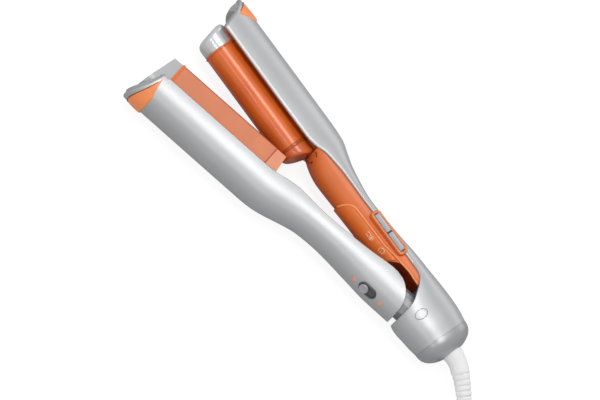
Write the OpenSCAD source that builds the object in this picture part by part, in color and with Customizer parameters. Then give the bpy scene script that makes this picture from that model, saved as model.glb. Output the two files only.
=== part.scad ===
// Hair waver with two hinged arms. The fixed arm carries a heated barrel, and the
// opening arm carries a heated trough whose walls close round the barrel.
// The waver lies on its side. +X runs along the fixed arm towards the tips, +Y points
// towards the opening arm, and the hinge axis is the Z axis. The opening arm is drawn
// closed and then turned open, so both arms share one set of stations along X.

/* [Arms] */
// Width of both heads and of the hinge housing
head_w = 38; // [37:0.5:40]
// Width of both handles at the neck, their narrowest place
neck_w = 32; // [31:0.5:33]
// Width of both handles at the rear
grip_w = 36; // [35:0.5:37]
// Angle between the arms when they rest open
open_angle = 13.2; // [10:0.2:16]
// Distance from the hinge axis to the tips, along the rims
arm_len = 267; // [262:1:280]
// Distance from the hinge axis to the neck
neck_x = 95; // [90:1:100]
// Distance from the hinge axis to the heel of the heads, where they reach full width
head_x = 156; // [152:1:158]
// Wall of the moulded shells
shell_t = 1.8; // [1.4:0.1:2.2]
// Wall of the inner covers
cover_t = 1.5; // [1.2:0.1:1.8]
// How square the arms' cross-sections are, where 2 is an ellipse
squareness = 2.4; // [2.2:0.1:2.8]
// Slant of both tips
tip_slant = 13; // [8:1:16]
// How far the middle of each tip stands out past its sides
tip_crown = 8; // [4:1:10]

/* [Fixed arm] */
// Distance from the hinge axis to the fixed arm's rim at the head
right_rim = 11; // [10.5:0.1:12]
// Distance from the hinge axis to the fixed arm's rim along the handle
right_grip_rim = 19; // [18.5:0.1:20]
// Distance from the hinge axis to the back of the fixed arm's head
right_back = 39; // [38.5:0.5:42]
// Distance from the hinge axis to the back of the fixed arm's neck
right_neck_back = 26.5; // [26:0.5:28]
// Height of the handle cover's crest below the hinge axis
cover_crest = 3.2; // [2.8:0.1:3.6]
// Width of the hinge housing across the arms
housing_h = 49; // [48:0.5:50]
// Distance from the hinge axis to the middle of the housing
housing_drop = 8.4; // [8:0.1:8.8]
// Length of the end cap behind the hinge housing
end_cap_l = 13.5; // [12:0.5:16]

/* [Opening arm] */
// Distance from the hinge axis to the opening arm's rim at the head
left_rim = 7; // [6.5:0.1:7.5]
// Distance from the hinge axis to the back of the opening arm's head
left_back = 18.5; // [18:0.5:20]
// Distance from the hinge axis to the back of the opening arm's neck
left_neck_back = 8.5; // [8.3:0.1:9.5]

/* [Barrel and trough] */
// Diameter of the heated barrel
barrel_d = 25.4; // [24:0.2:26]
// Wall of the barrel tube
barrel_t = 1.2; // [1:0.1:1.6]
// Length of the barrel's and the trough's heated stretch
barrel_l = 90.5; // [84:0.5:92]
// Distance from the hinge axis to the tip end of the barrel
barrel_end = 250; // [248:0.5:251]
// Distance from the hinge axis down to the barrel's own axis
barrel_drop = 3.2; // [2.8:0.1:3.6]
// Gap for hair between the barrel and the trough
hair_gap = 0.8; // [0.6:0.1:1]
// Wall of the trough
trough_t = 1.5; // [1.2:0.1:1.6]
// How far the trough's walls stand out past the opening arm's rim
wall_h = 17.2; // [16:0.2:17.4]
// Clearance of the wall tops over the floor of the grooves beside the barrel
groove_gap = 1.3; // [1.1:0.1:2]
// Slant of the heel end of the barrel
heel_slant = 17; // [12:1:20]

/* [Hinge] */
// Diameter of the hinge pin
pin_d = 5; // [4:0.5:6]
// Radial clearance of the knuckle on the pin
pin_fit = 0.05; // [0.03:0.01:0.08]
// Radius of the knuckle round the pin
knuckle_r = 9.5; // [9:0.1:9.8]
// Width of the knuckle along the pin
knuckle_w = 23; // [21:0.5:23.5]
// Clearance between neighbouring pieces that don't touch
fit = 0.15; // [0.1:0.01:0.2]

/* [Controls] */
// Length of the button frame along the handle
frame_l = 39; // [38:0.5:40]
// Height of the button frame across the handle
frame_h = 8.4; // [8:0.1:8.8]
// Length of one push button
button_l = 15.6; // [14:0.2:16]
// Height of one push button
button_h = 4; // [3.6:0.1:4.4]
// Travel of a push button
button_travel = 0.8; // [0.6:0.1:1]
// Diameter of the lock slider's knob
knob_d = 7.4; // [6.6:0.2:7.8]
// Travel of the lock slider
lock_travel = 6; // [5:0.5:6.5]

/* [Cord] */
// Diameter of the cord
cord_d = 6; // [5.8:0.1:6.2]
// Diameter of the strain relief where it leaves the end cap
relief_d = 16; // [15:0.5:16.5]
// Diameter of the strain relief where the cord leaves it
relief_end_d = 9; // [8:0.5:10]

/* [Hidden] */

mid = head_w / 2;              // height of the middle plane over the table
neck_b = neck_w / 2;
grip_b = grip_w / 2;
house_b = head_w / 2;
house_a = housing_h / 2;
mouth_x = 7.2;                 // where the housing's mouth closes over the knuckle
cap_x = -22;                   // seam between the housing and the end cap
grip_x = 40;
barrel_start = barrel_end - barrel_l;
barrel_r = barrel_d / 2;
trough_in = barrel_r + hair_gap;
trough_out = trough_in + trough_t;
wall_top = left_rim + wall_h;            // depth of the closed wall tops below the hinge axis
groove_floor = wall_top + groove_gap;
cover_end = barrel_start - 13.7;         // the handle's cover stops behind the heel cap
tray_x = cover_end - 2.2;

// ---- Smooth curves through a few stations: rows of [x, value, value, ...] ----
function span(t, x, i = 0) = i >= len(t) - 2 || x < t[i + 1][0] ? i : span(t, x, i + 1);
function steep(t, i, k) =
    let (a = max(i - 1, 0), b = min(i + 1, len(t) - 1))
    (t[b][k] - t[a][k]) / (t[b][0] - t[a][0]);
function read(t, x, k) =
    let (i = span(t, x), w = t[i + 1][0] - t[i][0], s = min(max((x - t[i][0]) / w, 0), 1))
    (2 * s ^ 3 - 3 * s ^ 2 + 1) * t[i][k] + (s ^ 3 - 2 * s ^ 2 + s) * w * steep(t, i, k)
    + (3 * s ^ 2 - 2 * s ^ 3) * t[i + 1][k] + (s ^ 3 - s ^ 2) * w * steep(t, i + 1, k);
function power(v, p) = sign(v) * abs(v) ^ p;
// A station on the flare, where part runs from 0 at the neck to 1 at the heel of the heads
function flare(part) = neck_x + (head_x - neck_x) * part;

// Fixed arm: x, widest line, half width, back, front, all as depths below the hinge axis
right_rows = [
    [cap_x, housing_drop, 0.92 * house_b, housing_drop + 0.92 * house_a, housing_drop - 0.92 * house_a],
    [-10, housing_drop, house_b, housing_drop + 0.985 * house_a, housing_drop - 0.985 * house_a],
    [mouth_x, housing_drop + 0.6, house_b, housing_drop + 0.99 * house_a, housing_drop - house_a],
    [25, 15, (house_b + grip_b) / 2, housing_drop + 0.93 * house_a, -4],
    [grip_x, right_grip_rim - 1, grip_b, right_neck_back + 3.6, cover_crest],
    [grip_x + 20, right_grip_rim - 0.4, (grip_b + neck_b) / 2 + 0.1, right_neck_back + 1.5, cover_crest + 0.1],
    [neck_x - 15, right_grip_rim, neck_b + 0.4, right_neck_back + 0.1, cover_crest + 0.1],
    [neck_x, right_grip_rim, neck_b, right_neck_back, cover_crest - 0.4],
    [flare(0.41), right_grip_rim - 0.2, neck_b + 0.5, right_neck_back + 4.5, cover_crest - 1.4],
    [flare(0.574), right_grip_rim - 1.4, neck_b + 1.4, right_neck_back + 7.8, cover_crest - 0.8],
    [flare(0.738), right_grip_rim - 3.2, house_b - 0.7, right_back - 1.3, cover_crest + 2.2],
    [flare(0.869), right_rim + 1.6, house_b - 0.2, right_back - 0.4, right_rim - 1],
    [head_x + 2, right_rim, house_b, right_back, right_rim - 0.5],
    [arm_len, right_rim, house_b, right_back, right_rim - 0.5]];
// The fixed arm's rim: x, depth. It turns up at the mouth of the hinge housing.
right_rim_rows = [
    [mouth_x, housing_drop - house_a], [9.7, -1.4], [15, 7.7], [20.2, 14.5], [25.6, 18.6],
    [34, right_grip_rim + 0.4], [grip_x + 20, right_grip_rim + 0.5], [neck_x, right_grip_rim],
    [flare(0.41), right_grip_rim - 0.2], [flare(0.574), right_grip_rim - 1.4],
    [flare(0.738), right_grip_rim - 3.2], [flare(0.869), right_rim + 1.6],
    [head_x + 2, right_rim], [arm_len, right_rim]];
// Opening arm: x, rim (also the widest line), half width, back, as heights over the hinge axis
left_rows = [
    [15, -13.4, grip_b, left_neck_back + 5.1],
    [grip_x, -13.2, grip_b, left_neck_back + 4.7],
    [grip_x + 20, -11.6, (grip_b + neck_b) / 2 + 0.1, left_neck_back + 2.7],
    [neck_x - 15, -10.7, neck_b + 0.3, left_neck_back + 0.7],
    [neck_x, -10.3, neck_b, left_neck_back],
    [flare(0.246), -10.6, neck_b + 0.2, left_neck_back + 0.8],
    [flare(0.41), -11.2, neck_b + 0.8, left_neck_back + 2.9],
    [flare(0.574), -11.3, neck_b + 1.6, left_neck_back + 5.7],
    [flare(0.738), -9.8, house_b - 0.6, left_back - 1.7],
    [flare(0.902), -left_rim - 0.6, house_b - 0.2, left_back - 0.3],
    [head_x + 4, -left_rim, house_b, left_back],
    [arm_len, -left_rim, house_b, left_back]];

// Tips: slanted, so that the back is longer, and crowned across their width
tip_start = barrel_end + 2;
function tip_shift(x, depth, across) =
    min(max((x - tip_start) / (arm_len - tip_start), 0), 1)
    * (tan(tip_slant) * depth - tip_crown * (across / house_b) ^ 2);

// One point of the fixed arm's outline. angle 0 is the front and 180 the back. inset
// moves the outline inwards, and raise moves only its back out.
function right_point(x, angle, inset, raise = 0) =
    let (w = read(right_rows, x, 1), b = min(read(right_rows, x, 2), house_b) - inset,
        back = read(right_rows, x, 3) - inset + raise, front = read(right_rows, x, 4) + inset,
        depth = cos(angle) < 0 ? w + (back - w) * (-cos(angle)) ^ (2 / squareness)
            : w - (w - front) * cos(angle) ^ (2 / squareness),
        across = b * power(sin(angle), 2 / squareness))
    [x + tip_shift(x, depth - right_rim, across), -depth, mid + across];
// Angle at which that outline reaches a depth
function right_angle(x, depth, inset) =
    let (w = read(right_rows, x, 1), back = read(right_rows, x, 3) - inset,
        front = read(right_rows, x, 4) + inset)
    depth < w ? acos(min((w - depth) / (w - front), 1) ^ (squareness / 2))
        : 180 - acos(min((depth - w) / (back - w), 1) ^ (squareness / 2));
// The same for the opening arm, whose outline only has a back half
function left_shift(x, height) =
    // the rear end is rounded about a point near the lock slider
    (1 - min(max((x - 15) / 25, 0), 1)) * (height < 8 ? 21.4 - sqrt(21.5 ^ 2 - (8 - height) ^ 2) : 0);
function left_point(x, angle, inset, raise = 0) =
    let (w = read(left_rows, x, 1), b = min(read(left_rows, x, 2), house_b) - inset,
        back = read(left_rows, x, 3) - inset + raise,
        height = w + (back - w) * abs(cos(angle)) ^ (2 / squareness),
        across = b * power(sin(angle), 2 / squareness))
    [x + tip_shift(x, height + left_rim, across) + left_shift(x, height), height, mid + across];
// ---- Skins: a closed solid through rings of equal length ----
// A wall ring runs out along one side (count + 1 points) and back along the other.
// The first shut rings are tubes, whose two ends meet.
module wall_skin(rings, count, shut = 0) {
    k = len(rings[0]);
    function id(j, i) = j * k + (j < shut && i == count ? 0 : j < shut && i == count + 1 ? k - 1 : i);
    polyhedron(
        points = [for (ring = rings) each ring],
        faces = concat(
            [for (j = [0 : len(rings) - 2]) for (i = [0 : k - 1])
                if (j + 1 >= shut || (i != count && i != k - 1)) each
                let (a = id(j, i), b = id(j, (i + 1) % k), c = id(j + 1, i), d = id(j + 1, (i + 1) % k))
                [[a, c, b], [b, c, d]]],
            [for (i = [0 : count - 1]) each
                [[id(0, i), id(0, i + 1), id(0, k - 1 - i)], [id(0, k - 2 - i), id(0, k - 1 - i), id(0, i + 1)]]],
            [for (i = [0 : count - 1]) each
                let (j = len(rings) - 1)
                [[id(j, i + 1), id(j, i), id(j, k - 1 - i)], [id(j, k - 1 - i), id(j, k - 2 - i), id(j, i + 1)]]]));
}
// A solid ring is any simple outline, and the ends are closed by fans about a middle point
module solid_skin(rings, first, final) {
    k = len(rings[0]);
    n = len(rings);
    polyhedron(
        points = concat([for (ring = rings) each ring], [first, final]),
        faces = concat(
            [for (j = [0 : n - 2]) for (i = [0 : k - 1]) each
                let (a = j * k + i, b = j * k + (i + 1) % k) [[a, b, a + k], [b, b + k, a + k]]],
            [for (i = [0 : k - 1]) [(i + 1) % k, i, n * k]],
            [for (i = [0 : k - 1]) [(n - 1) * k + i, (n - 1) * k + (i + 1) % k, n * k + 1]]));
}
function steps(a, b, n) = [for (i = [0 : n]) a + (b - a) * i / n];
function reversed(v) = [for (i = [len(v) - 1 : -1 : 0]) v[i]];
// A prism along X, from an outline of [y, z - mid] points
module along_x(x0, x1) {
    translate([x0, 0, mid])
        rotate([90, 0, 90])
            linear_extrude(x1 - x0)
                children();
}
module opened() {
    rotate([0, 0, open_angle])
        children();
}

// ---- Fixed arm ----
shell_count = 24;
tip_steps = 4;
tip_stations = steps(tip_start, arm_len, tip_steps);
right_stations = concat([cap_x, -16, -8, mouth_x], [8.2, 9.7, 12, 15, 17.6, 20.2, 22.8, 25.6, 31],
    steps(grip_x - 2, neck_x - 1, 6), steps(neck_x + 6, head_x - 1, 8), [head_x + 3], tip_stations);
window_x = grip_x + 4;
frame_top = -14.2;
frame_y = frame_top - frame_h;
frame_z = mid + grip_b - 5.2;
module button_window(gap) {
    translate([window_x - gap, frame_y - gap, frame_z - 4])
        cube([frame_l + 2 * gap, frame_h + 2 * gap, 20]);
}
module oval(long, short) {
    polygon([for (a = [0 : 15 : 345]) [short / 2 * cos(a), long / 2 * sin(a)]]);
}
oval_long = 10.3;
oval_short = 7;
function right_wall_ring(x) =
    let (depth = read(right_rim_rows, x, 1), tube = x <= mouth_x,
        a = tube ? 0 : right_angle(x, depth, 0), b = tube ? 0 : right_angle(x, depth, shell_t))
    concat([for (s = steps(a, 360 - a, shell_count)) right_point(x, s, 0)],
        [for (s = steps(360 - b, b, shell_count)) right_point(x, s, shell_t)]);
module right_shell() {
    color([0.72, 0.73, 0.74])
        difference() {
            wall_skin([for (x = right_stations) right_wall_ring(x)], shell_count, 4);
            button_window(fit);
            translate([0, 0, -1])
                linear_extrude(head_w + 2)
                    oval(oval_long + 2 * fit, oval_short + 2 * fit);
        }
}

// End cap: the housing's outline drawn in to a flat end with a round hole for the cord
relief_y = -housing_drop - 0.3;
cap_end = cap_x - end_cap_l;
relief_neck = 6.1;
relief_flange = 8;
function cap_point(s, angle, inset) =
    // s runs from 0 at the seam to 1 at the flat end
    let (f = sqrt(1 - (0.92 * s) ^ 2.4),
        a = (0.92 * house_a - inset) * f, b = (0.92 * house_b - inset) * f)
    [cap_x - fit - (end_cap_l - fit) * s, -housing_drop + a * power(cos(angle), 2 / squareness),
        mid + b * power(sin(angle), 2 / squareness)];
function cap_hole(depth, angle) =
    [cap_end + depth, relief_y + (relief_neck + fit) * cos(angle), mid + (relief_neck + fit) * sin(angle)];
module end_cap() {
    cap_count = 28;
    // for each ring: s of the outside, and s of the inside or the depth of the hole there
    rows = [[1, -1, 0], [0.94, -1, shell_t], [0.85, 0.84, 0], [0.72, 0.72, 0], [0.55, 0.55, 0],
        [0.35, 0.35, 0], [0.15, 0.15, 0], [0, 0, 0]];
    rings = [for (q = rows) concat(
        [for (a = steps(0, 360, cap_count)) cap_point(q[0], a, 0)],
        [for (a = steps(360, 0, cap_count)) q[1] < 0 ? cap_hole(q[2], a) : cap_point(q[1], a, shell_t)])];
    color([0.5, 0.51, 0.52])
        wall_skin(rings, cap_count, len(rings));
}

// Inner cover of the handle: a vaulted cover whose edges sit inside the shell's rim
cover_n = 2;
cover_count = 22;
function cover_inset(extra) = shell_t + fit + extra;
function cover_point(x, angle, raise, wide) =
    // raise lifts the crest, wide widens the edges
    let (w = read(right_rim_rows, max(x, 25.6), 1), b = read(right_rows, x, 2) - cover_inset(0) + wide,
        front = read(right_rows, max(x, grip_x), 4) - raise)
    [x, -w + (w - front) * cos(angle) ^ (2 / cover_n), mid + b * power(sin(angle), 2 / cover_n)];
pocket_end = 48;
pocket_half = 13.6;
module hinge_pocket() {
    // room for the knuckle, open towards the hinge and rounded at its other end
    translate([0, -16, mid - pocket_half])
        cube([pocket_end - 8, 30, 2 * pocket_half]);
    translate([pocket_end - 8, 14, mid])
        rotate([90, 0, 0])
            cylinder(h = 30, r = 8, $fn = 48);
}
module right_inner_cover() {
    function ring(x) = concat([for (a = steps(-90, 90, cover_count)) cover_point(x, a, 0, 0)],
        [for (a = steps(90, -90, cover_count)) cover_point(x, a, -cover_t, -cover_t)]);
    stations = concat([19.5, 25.6, 32], steps(grip_x, cover_end - 9.8, 14), [cover_end - 4.8, cover_end]);
    color([0.86, 0.42, 0.18])
        difference() {
            wall_skin([for (x = stations) ring(x)], cover_count);
            hinge_pocket();
            button_window(fit);
        }
}

// Raised pad with the button icons, lying on the vaulted cover
pad_end = neck_x + 7.5;
pad_h = 1.2;
module control_pad() {
    pad_count = 18;
    function reach(x) = 60 * sqrt(max(1 - max((x - pad_end + 10) / 10.2, 0) ^ 2, 0));
    function ring(x) = concat(
        [for (a = steps(-reach(x), reach(x), pad_count)) cover_point(x, a, pad_h, pad_h)],
        [for (a = steps(reach(x), -reach(x), pad_count)) cover_point(x, a, fit, fit)]);
    stations = concat([20, 30, grip_x, 52, 66, 80], [for (d = [10, 7, 4, 2, 0.6, 0]) pad_end - d]);
    color([0.9, 0.45, 0.18])
        difference() {
            wall_skin([for (x = stations) ring(x)], pad_count);
            hinge_pocket();
            button_window(fit);
        }
}

// Bezel of the two buttons, with legs that carry the circuit board
button_pitch = 17;
frame_mid = [window_x + frame_l / 2, frame_y + frame_h / 2];
board_z = frame_z - 5.6;
module slab(l, h, t) {
    // a plain block with square corners, centred on X and Y
    translate([-l / 2, -h / 2, 0])
        cube([l, h, t]);
}
module button_frame() {
    color([0.93, 0.5, 0.22])
        difference() {
            union() {
                translate([frame_mid[0], frame_mid[1], frame_z])
                    slab(frame_l, frame_h, 6.2);
                for (side = [-1, 1])
                    translate([frame_mid[0] + side * (frame_l / 2 - 1.5), frame_mid[1], board_z + 1.6])
                        slab(3, frame_h, frame_z - board_z);
            }
            for (side = [-1, 1])
                translate([frame_mid[0] + side * button_pitch / 2, frame_mid[1], frame_z - 1])
                    slab(button_l + 2 * fit, button_h + 2 * fit, 10);
        }
}
module push_button(side) {
    top = frame_z + 6.2 + 0.5;
    foot = board_z + 1.6 + 3.4 + fit;
    translate([frame_mid[0] + side * button_pitch / 2, frame_mid[1], foot])
        slab(button_l, button_h, top - foot);
}
module power_button() {
    color([0.8, 0.81, 0.82])
        push_button(-1);
}
module mode_button() {
    color([0.8, 0.81, 0.82])
        push_button(1);
}
module tact_switches() {
    color([0.15, 0.15, 0.16])
        for (side = [-1, 1])
            translate([frame_mid[0] + side * button_pitch / 2, frame_mid[1], board_z + 1.6])
                difference() {
                    slab(6, 6, 3.4 - button_travel);
                    translate([0, 0, 1.4])
                        cylinder(h = 3, d = 3.4, $fn = 32);
                }
}
module circuit_board() {
    color([0.1, 0.4, 0.22])
        translate([window_x, frame_y - 1, board_z])
            cube([frame_l, frame_h + 1, 1.6]);
}

// Tray under the barrel: floor of the two grooves, and the wall that the barrel sits on
module barrel_tray() {
    tray_end = barrel_end + 10;
    tray_half = mid - shell_t - 2.8;
    color([0.62, 0.3, 0.14])
        difference() {
            union() {
                along_x(tray_x, tray_end)
                    translate([-groove_floor - 1.8, -tray_half])
                        square([1.8, 2 * tray_half]);
                along_x(tray_x, tray_end)
                    translate([-groove_floor - 1, -6])
                        square([groove_floor + 1 - 14.4, 12]);
                along_x(tray_x, tray_x + 1.6)
                    translate([-groove_floor - 1, -tray_half])
                        square([groove_floor + 1 - 16.6, 2 * tray_half]);
            }
            round_x(tray_x - 1, tray_end + 1, barrel_r);
        }
}
module round_x(x0, x1, r) {
    translate([x0, -barrel_drop, mid])
        rotate([0, 90, 0])
            cylinder(h = x1 - x0, r = r, $fn = 64);
}
module barrel() {
    color([0.75, 0.33, 0.12])
        difference() {
            round_x(barrel_start, barrel_end, barrel_r);
            round_x(barrel_start - 1, barrel_end + 1, barrel_r - barrel_t);
        }
}
ring_l = 2.4;
module barrel_heel_ring() {
    color([0.6, 0.26, 0.04])
        difference() {
            round_x(barrel_start - ring_l, barrel_start, barrel_r);
            round_x(barrel_start - ring_l - 1, barrel_start + 1, barrel_r - barrel_t - 0.8);
        }
}
heel_x = barrel_start - ring_l;
module barrel_heel_cap() {
    // closed end, slanted so that its foot reaches further back than its crest
    color([0.72, 0.34, 0.14])
        difference() {
            union() {
                round_x(heel_x - 13, heel_x, barrel_r);
                round_x(heel_x, barrel_start + 6, barrel_r - barrel_t - 0.9);
            }
            translate([heel_x - 4.6, -barrel_drop + barrel_r, mid])
                rotate([0, 0, -heel_slant])
                    translate([-30, -40, -20])
                        cube([30, 60, 40]);
            round_x(heel_x - 3, barrel_start + 7, barrel_r - barrel_t - 2.4);
        }
}
module barrel_nose_cap() {
    nose_end = arm_len + 1;
    nose_r = 5;
    color([0.86, 0.87, 0.87])
        difference() {
            union() {
                translate([barrel_end, -barrel_drop, mid])
                    rotate([0, 90, 0])
                        rotate_extrude($fn = 64)
                            union() {
                                square([barrel_r, nose_end - barrel_end - nose_r]);
                                square([barrel_r - nose_r, nose_end - barrel_end]);
                                intersection() {
                                    translate([barrel_r - nose_r, nose_end - barrel_end - nose_r])
                                        circle(r = nose_r, $fn = 48);
                                    square([barrel_r, nose_end - barrel_end]);
                                }
                            }
                round_x(barrel_end - 6, barrel_end, barrel_r - barrel_t - fit);
            }
            translate([arm_len - 1, -right_rim, mid])
                rotate([0, 0, tip_slant])
                    translate([0, -30, -20])
                        cube([30, 80, 40]);
        }
}
core_r = barrel_r - barrel_t - 0.25;
heater_w = 13;
heater_t = 3.2;
core_start = barrel_start + 7;
core_end = barrel_end - 7;
module barrel_core() {
    // aluminium core that spreads the heat, with a slot for the heater
    color([0.7, 0.7, 0.72])
        difference() {
            round_x(core_start, core_end, core_r);
            translate([core_start - 1, -barrel_drop - heater_t / 2 - fit, mid - heater_w / 2 - fit])
                cube([core_end - core_start + 2, heater_t + 2 * fit, heater_w + 2 * fit]);
        }
}
module barrel_heater() {
    color([0.9, 0.88, 0.8])
        translate([core_start + 2, -barrel_drop - heater_t / 2, mid - heater_w / 2])
            cube([core_end - core_start - 4, heater_t, heater_w]);
}
module barrel_sensor() {
    // thermal cut-out on the end of the core
    color([0.85, 0.85, 0.86])
        translate([core_start - 4 - fit, -barrel_drop - 8.6, mid - 3])
            cube([4, 5, 6]);
}

// Pieces on the tips share the shell's own angles, so that they meet it face to face.
// skip is the number of the shell's facets that they leave bare on each side.
tip_angle = 180 / shell_count;
function tip_angles(skip) = steps(90 + skip * tip_angle, 270 - skip * tip_angle, shell_count - 2 * skip);
plug_skip = 5;
cool_skip = 2;
tip_pad = 1.3;
module right_tip_plug() {
    // closes the shell's tip below the grooves
    ends = [tip_stations[tip_steps - 1], arm_len - 0.4];
    color([0.86, 0.87, 0.87])
        solid_skin([for (x = ends) [for (a = reversed(tip_angles(plug_skip))) right_point(x, a, shell_t)]],
            [ends[0] + 1, -right_back + 6, mid], [ends[1] + 4, -right_back + 6, mid]);
}
module right_cool_tip() {
    angles = tip_angles(cool_skip);
    color([0.95, 0.5, 0.24])
        wall_skin([for (i = [0 : tip_steps - 1])
            concat([for (a = angles) right_point(tip_stations[i], a, 0, tip_pad)],
                [for (a = reversed(angles)) right_point(tip_stations[i], a, 0)])], len(angles) - 1);
}

// ---- Hinge ----
cheek_in = knuckle_w / 2 + 0.3;
cheek_t = 3.2;
bracket_x = 9.6;                // distance of the bracket's bosses behind the hinge
module hinge_bracket() {
    // U-shaped bracket inside the housing: two cheeks hold the pin, and a web joins them
    color([0.3, 0.3, 0.32])
        difference() {
            union() {
                for (side = [-1, 1])
                    translate([-13, -14, mid + side * (cheek_in + cheek_t / 2) - cheek_t / 2])
                        cube([18.5, 18, cheek_t]);
                translate([-13, -14, mid - cheek_in - cheek_t])
                    cube([2.4, 16, 2 * (cheek_in + cheek_t)]);
                translate([-bracket_x, -housing_drop, shell_t + 0.3])
                    cylinder(h = head_w - 2 * shell_t - 0.6, r = 3, $fn = 32);
            }
            translate([0, 0, -1])
                cylinder(h = head_w + 2, d = pin_d, $fn = 64);
            translate([-bracket_x, -housing_drop, mid - cheek_in])
                cylinder(h = 2 * cheek_in, r = 4, $fn = 32);
            translate([-bracket_x, -housing_drop, -1])
                cylinder(h = head_w + 2, d = 2.6, $fn = 32);
        }
}
module hinge_pin() {
    color([0.8, 0.8, 0.82])
        translate([0, 0, mid - cheek_in - cheek_t])
            cylinder(h = 2 * (cheek_in + cheek_t), d = pin_d, $fn = 64);
}
module bracket_screws() {
    color([0.75, 0.75, 0.78])
        for (side = [-1, 1])
            translate([-bracket_x, -housing_drop, mid + side * (cheek_in + cheek_t / 2)])
                union() {
                    cylinder(h = cheek_t, d = 2.6, center = true, $fn = 32);
                    translate([0, 0, -side * (cheek_t / 2 + 0.6)])
                        cylinder(h = 1.2, d = 5, center = true, $fn = 32);
                }
}
module hinge_cap_top() {
    // oval cap over the top end of the pin
    color([0.84, 0.85, 0.86])
        translate([0, 0, mid + cheek_in + cheek_t])
            linear_extrude(house_b - cheek_in - cheek_t)
                oval(oval_long, oval_short);
}
module hinge_foot() {
    // the matching oval underneath, whose flat face rests on the table
    color([0.84, 0.85, 0.86])
        linear_extrude(mid - cheek_in - cheek_t)
            oval(oval_long, oval_short);
}

// ---- Swept tubes: a ring of sides at each point of a route ----
function unit(v) = v / norm(v);
function heading(p, i) = unit(p[min(i + 1, len(p) - 1)] - p[max(i - 1, 0)]);
function tube_ring(p, i, r, sides) =
    let (t = heading(p, i), side = unit(cross(t, abs(t[2]) > 0.9 ? [0, 1, 0] : [0, 0, 1])), up = cross(side, t))
    [for (k = [0 : sides - 1]) p[i] + r * (cos(360 * k / sides) * side + sin(360 * k / sides) * up)];
module tube(p, r, sides, first = 0, final = -1) {
    // r is one radius, or a radius for each point. first and final pick a stretch of the
    // route, so that two tubes on one route meet face to face.
    stop = final < 0 ? len(p) - 1 : final;
    rings = [for (i = [first : stop]) tube_ring(p, i, is_list(r) ? r[i] : r, sides)];
    solid_skin(rings, p[first], p[stop]);
}
// A smooth route through points chosen by hand
function route_at(p, i, s) =
    let (a = p[max(i - 1, 0)], b = p[i], c = p[i + 1], d = p[min(i + 2, len(p) - 1)])
    0.5 * (2 * b + (c - a) * s + (2 * a - 5 * b + 4 * c - d) * s ^ 2 + (3 * b - a - 3 * c + d) * s ^ 3);
function route(p, n) =
    concat([for (i = [0 : len(p) - 2]) for (s = [0 : n - 1]) route_at(p, i, s / n)], [p[len(p) - 1]]);

spring_wire = 1.1;
spring_r = 4.3;
spring_turns = 4.5;
spring_low = mid + 2.6;        // floor of the room for it in the knuckle
module hinge_spring() {
    // torsion spring round the pin, drawn wound as far as the closed arms wind it
    steps_per_turn = 16;
    n = spring_turns * steps_per_turn;
    low = spring_low + spring_wire / 2 + 0.02;
    high = mid + cheek_in - spring_wire / 2 - 0.02;
    coil = [for (i = [0 : n]) let (a = 360 * i / steps_per_turn)
        [spring_r * cos(a + 180), spring_r * sin(a + 180), low + (high - low) * i / n]];
    color([0.6, 0.6, 0.63])
        tube(coil, spring_wire / 2, 6);
}
module board_lead() {
    // the two cord cores in their sleeve, from the strain relief to the circuit board
    points = [[cap_end + 5.8, relief_y, mid], [cap_x, -14, mid], [-15, -22, mid], [-2, -27, mid],
        [15, -26.5, mid], [30, -25, mid - 1], [window_x - 1, -21, board_z + 0.8]];
    color([0.9, 0.9, 0.9])
        tube(route(points, 3), 1.8, 8);
}

// ---- Opening arm, drawn closed ----
left_stations = concat([15, 17, 20, 25, 32], steps(grip_x, head_x - 6, 13), [head_x + 4], tip_stations);
// The rear end has a lip that turns in towards the knuckle
function left_wall(x, angle) = shell_t + 2.6 * max(1 - max(x - 15, 0) / 3, 0) * sqrt(abs(cos(angle)));
lock_x = 41.5;
lock_angle = 154;
bezel_l = knob_d + lock_travel + 2;
bezel_w = knob_d + 1.2;
bezel_sink = 1.2;
dot_d = 3.4;
dot_sink = 0.4;
dot_x = [lock_x - 13.4, lock_x + 12.6];
module on_lock(x, angle = lock_angle) {
    // places its children on the shoulder of the opening arm, facing outwards
    p = left_point(x, angle, 0);
    d = left_point(x, angle + 3, 0) - left_point(x, angle - 3, 0);
    translate(p)
        rotate([-90 + atan2(d[1], -d[2]), 0, 0])
            children();
}
module stadium(l, w, low, high) {
    translate([-(l - w) / 2, -w / 2, low])
        cube([l - w, w, high - low]);
    for (side = [-1, 1])
        translate([side * (l - w) / 2, 0, low])
            cylinder(h = high - low, d = w, $fn = 48);
}
module left_shell() {
    function ring(x) = concat([for (a = steps(90, 270, shell_count)) left_point(x, a, 0)],
        [for (a = steps(270, 90, shell_count)) left_point(x, a, left_wall(x, a))]);
    color([0.74, 0.75, 0.76])
        opened()
            difference() {
                wall_skin([for (x = left_stations) reversed(ring(x))], shell_count);
                on_lock(lock_x) {
                    stadium(bezel_l - 2, bezel_w - 2, -5, 3);
                    stadium(bezel_l + 2 * fit, bezel_w + 2 * fit, -bezel_sink, 3);
                }
                for (x = dot_x)
                    on_lock(x, lock_angle + 4)
                        translate([0, 0, -dot_sink])
                            cylinder(h = 3, d = dot_d + 0.1, $fn = 32);
            }
}
left_cover_end = barrel_start - 12.5;    // the opening arm's cover stops behind the trough
floor_rows = [[22, -4.2], [36, -4], [grip_x + 0.5, 0.2], [grip_x + 6, 1], [neck_x - 15, 0.6],
    [neck_x, -0.6], [flare(0.574), 0], [left_cover_end + 0.5, 0.4]];
function floor_half(x, height) =
    let (w = read(left_rows, x, 1), back = read(left_rows, x, 3) - shell_t, b = read(left_rows, x, 2) - shell_t)
    b * (1 - ((height - w) / (back - w)) ^ squareness) ^ (1 / squareness);
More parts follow.
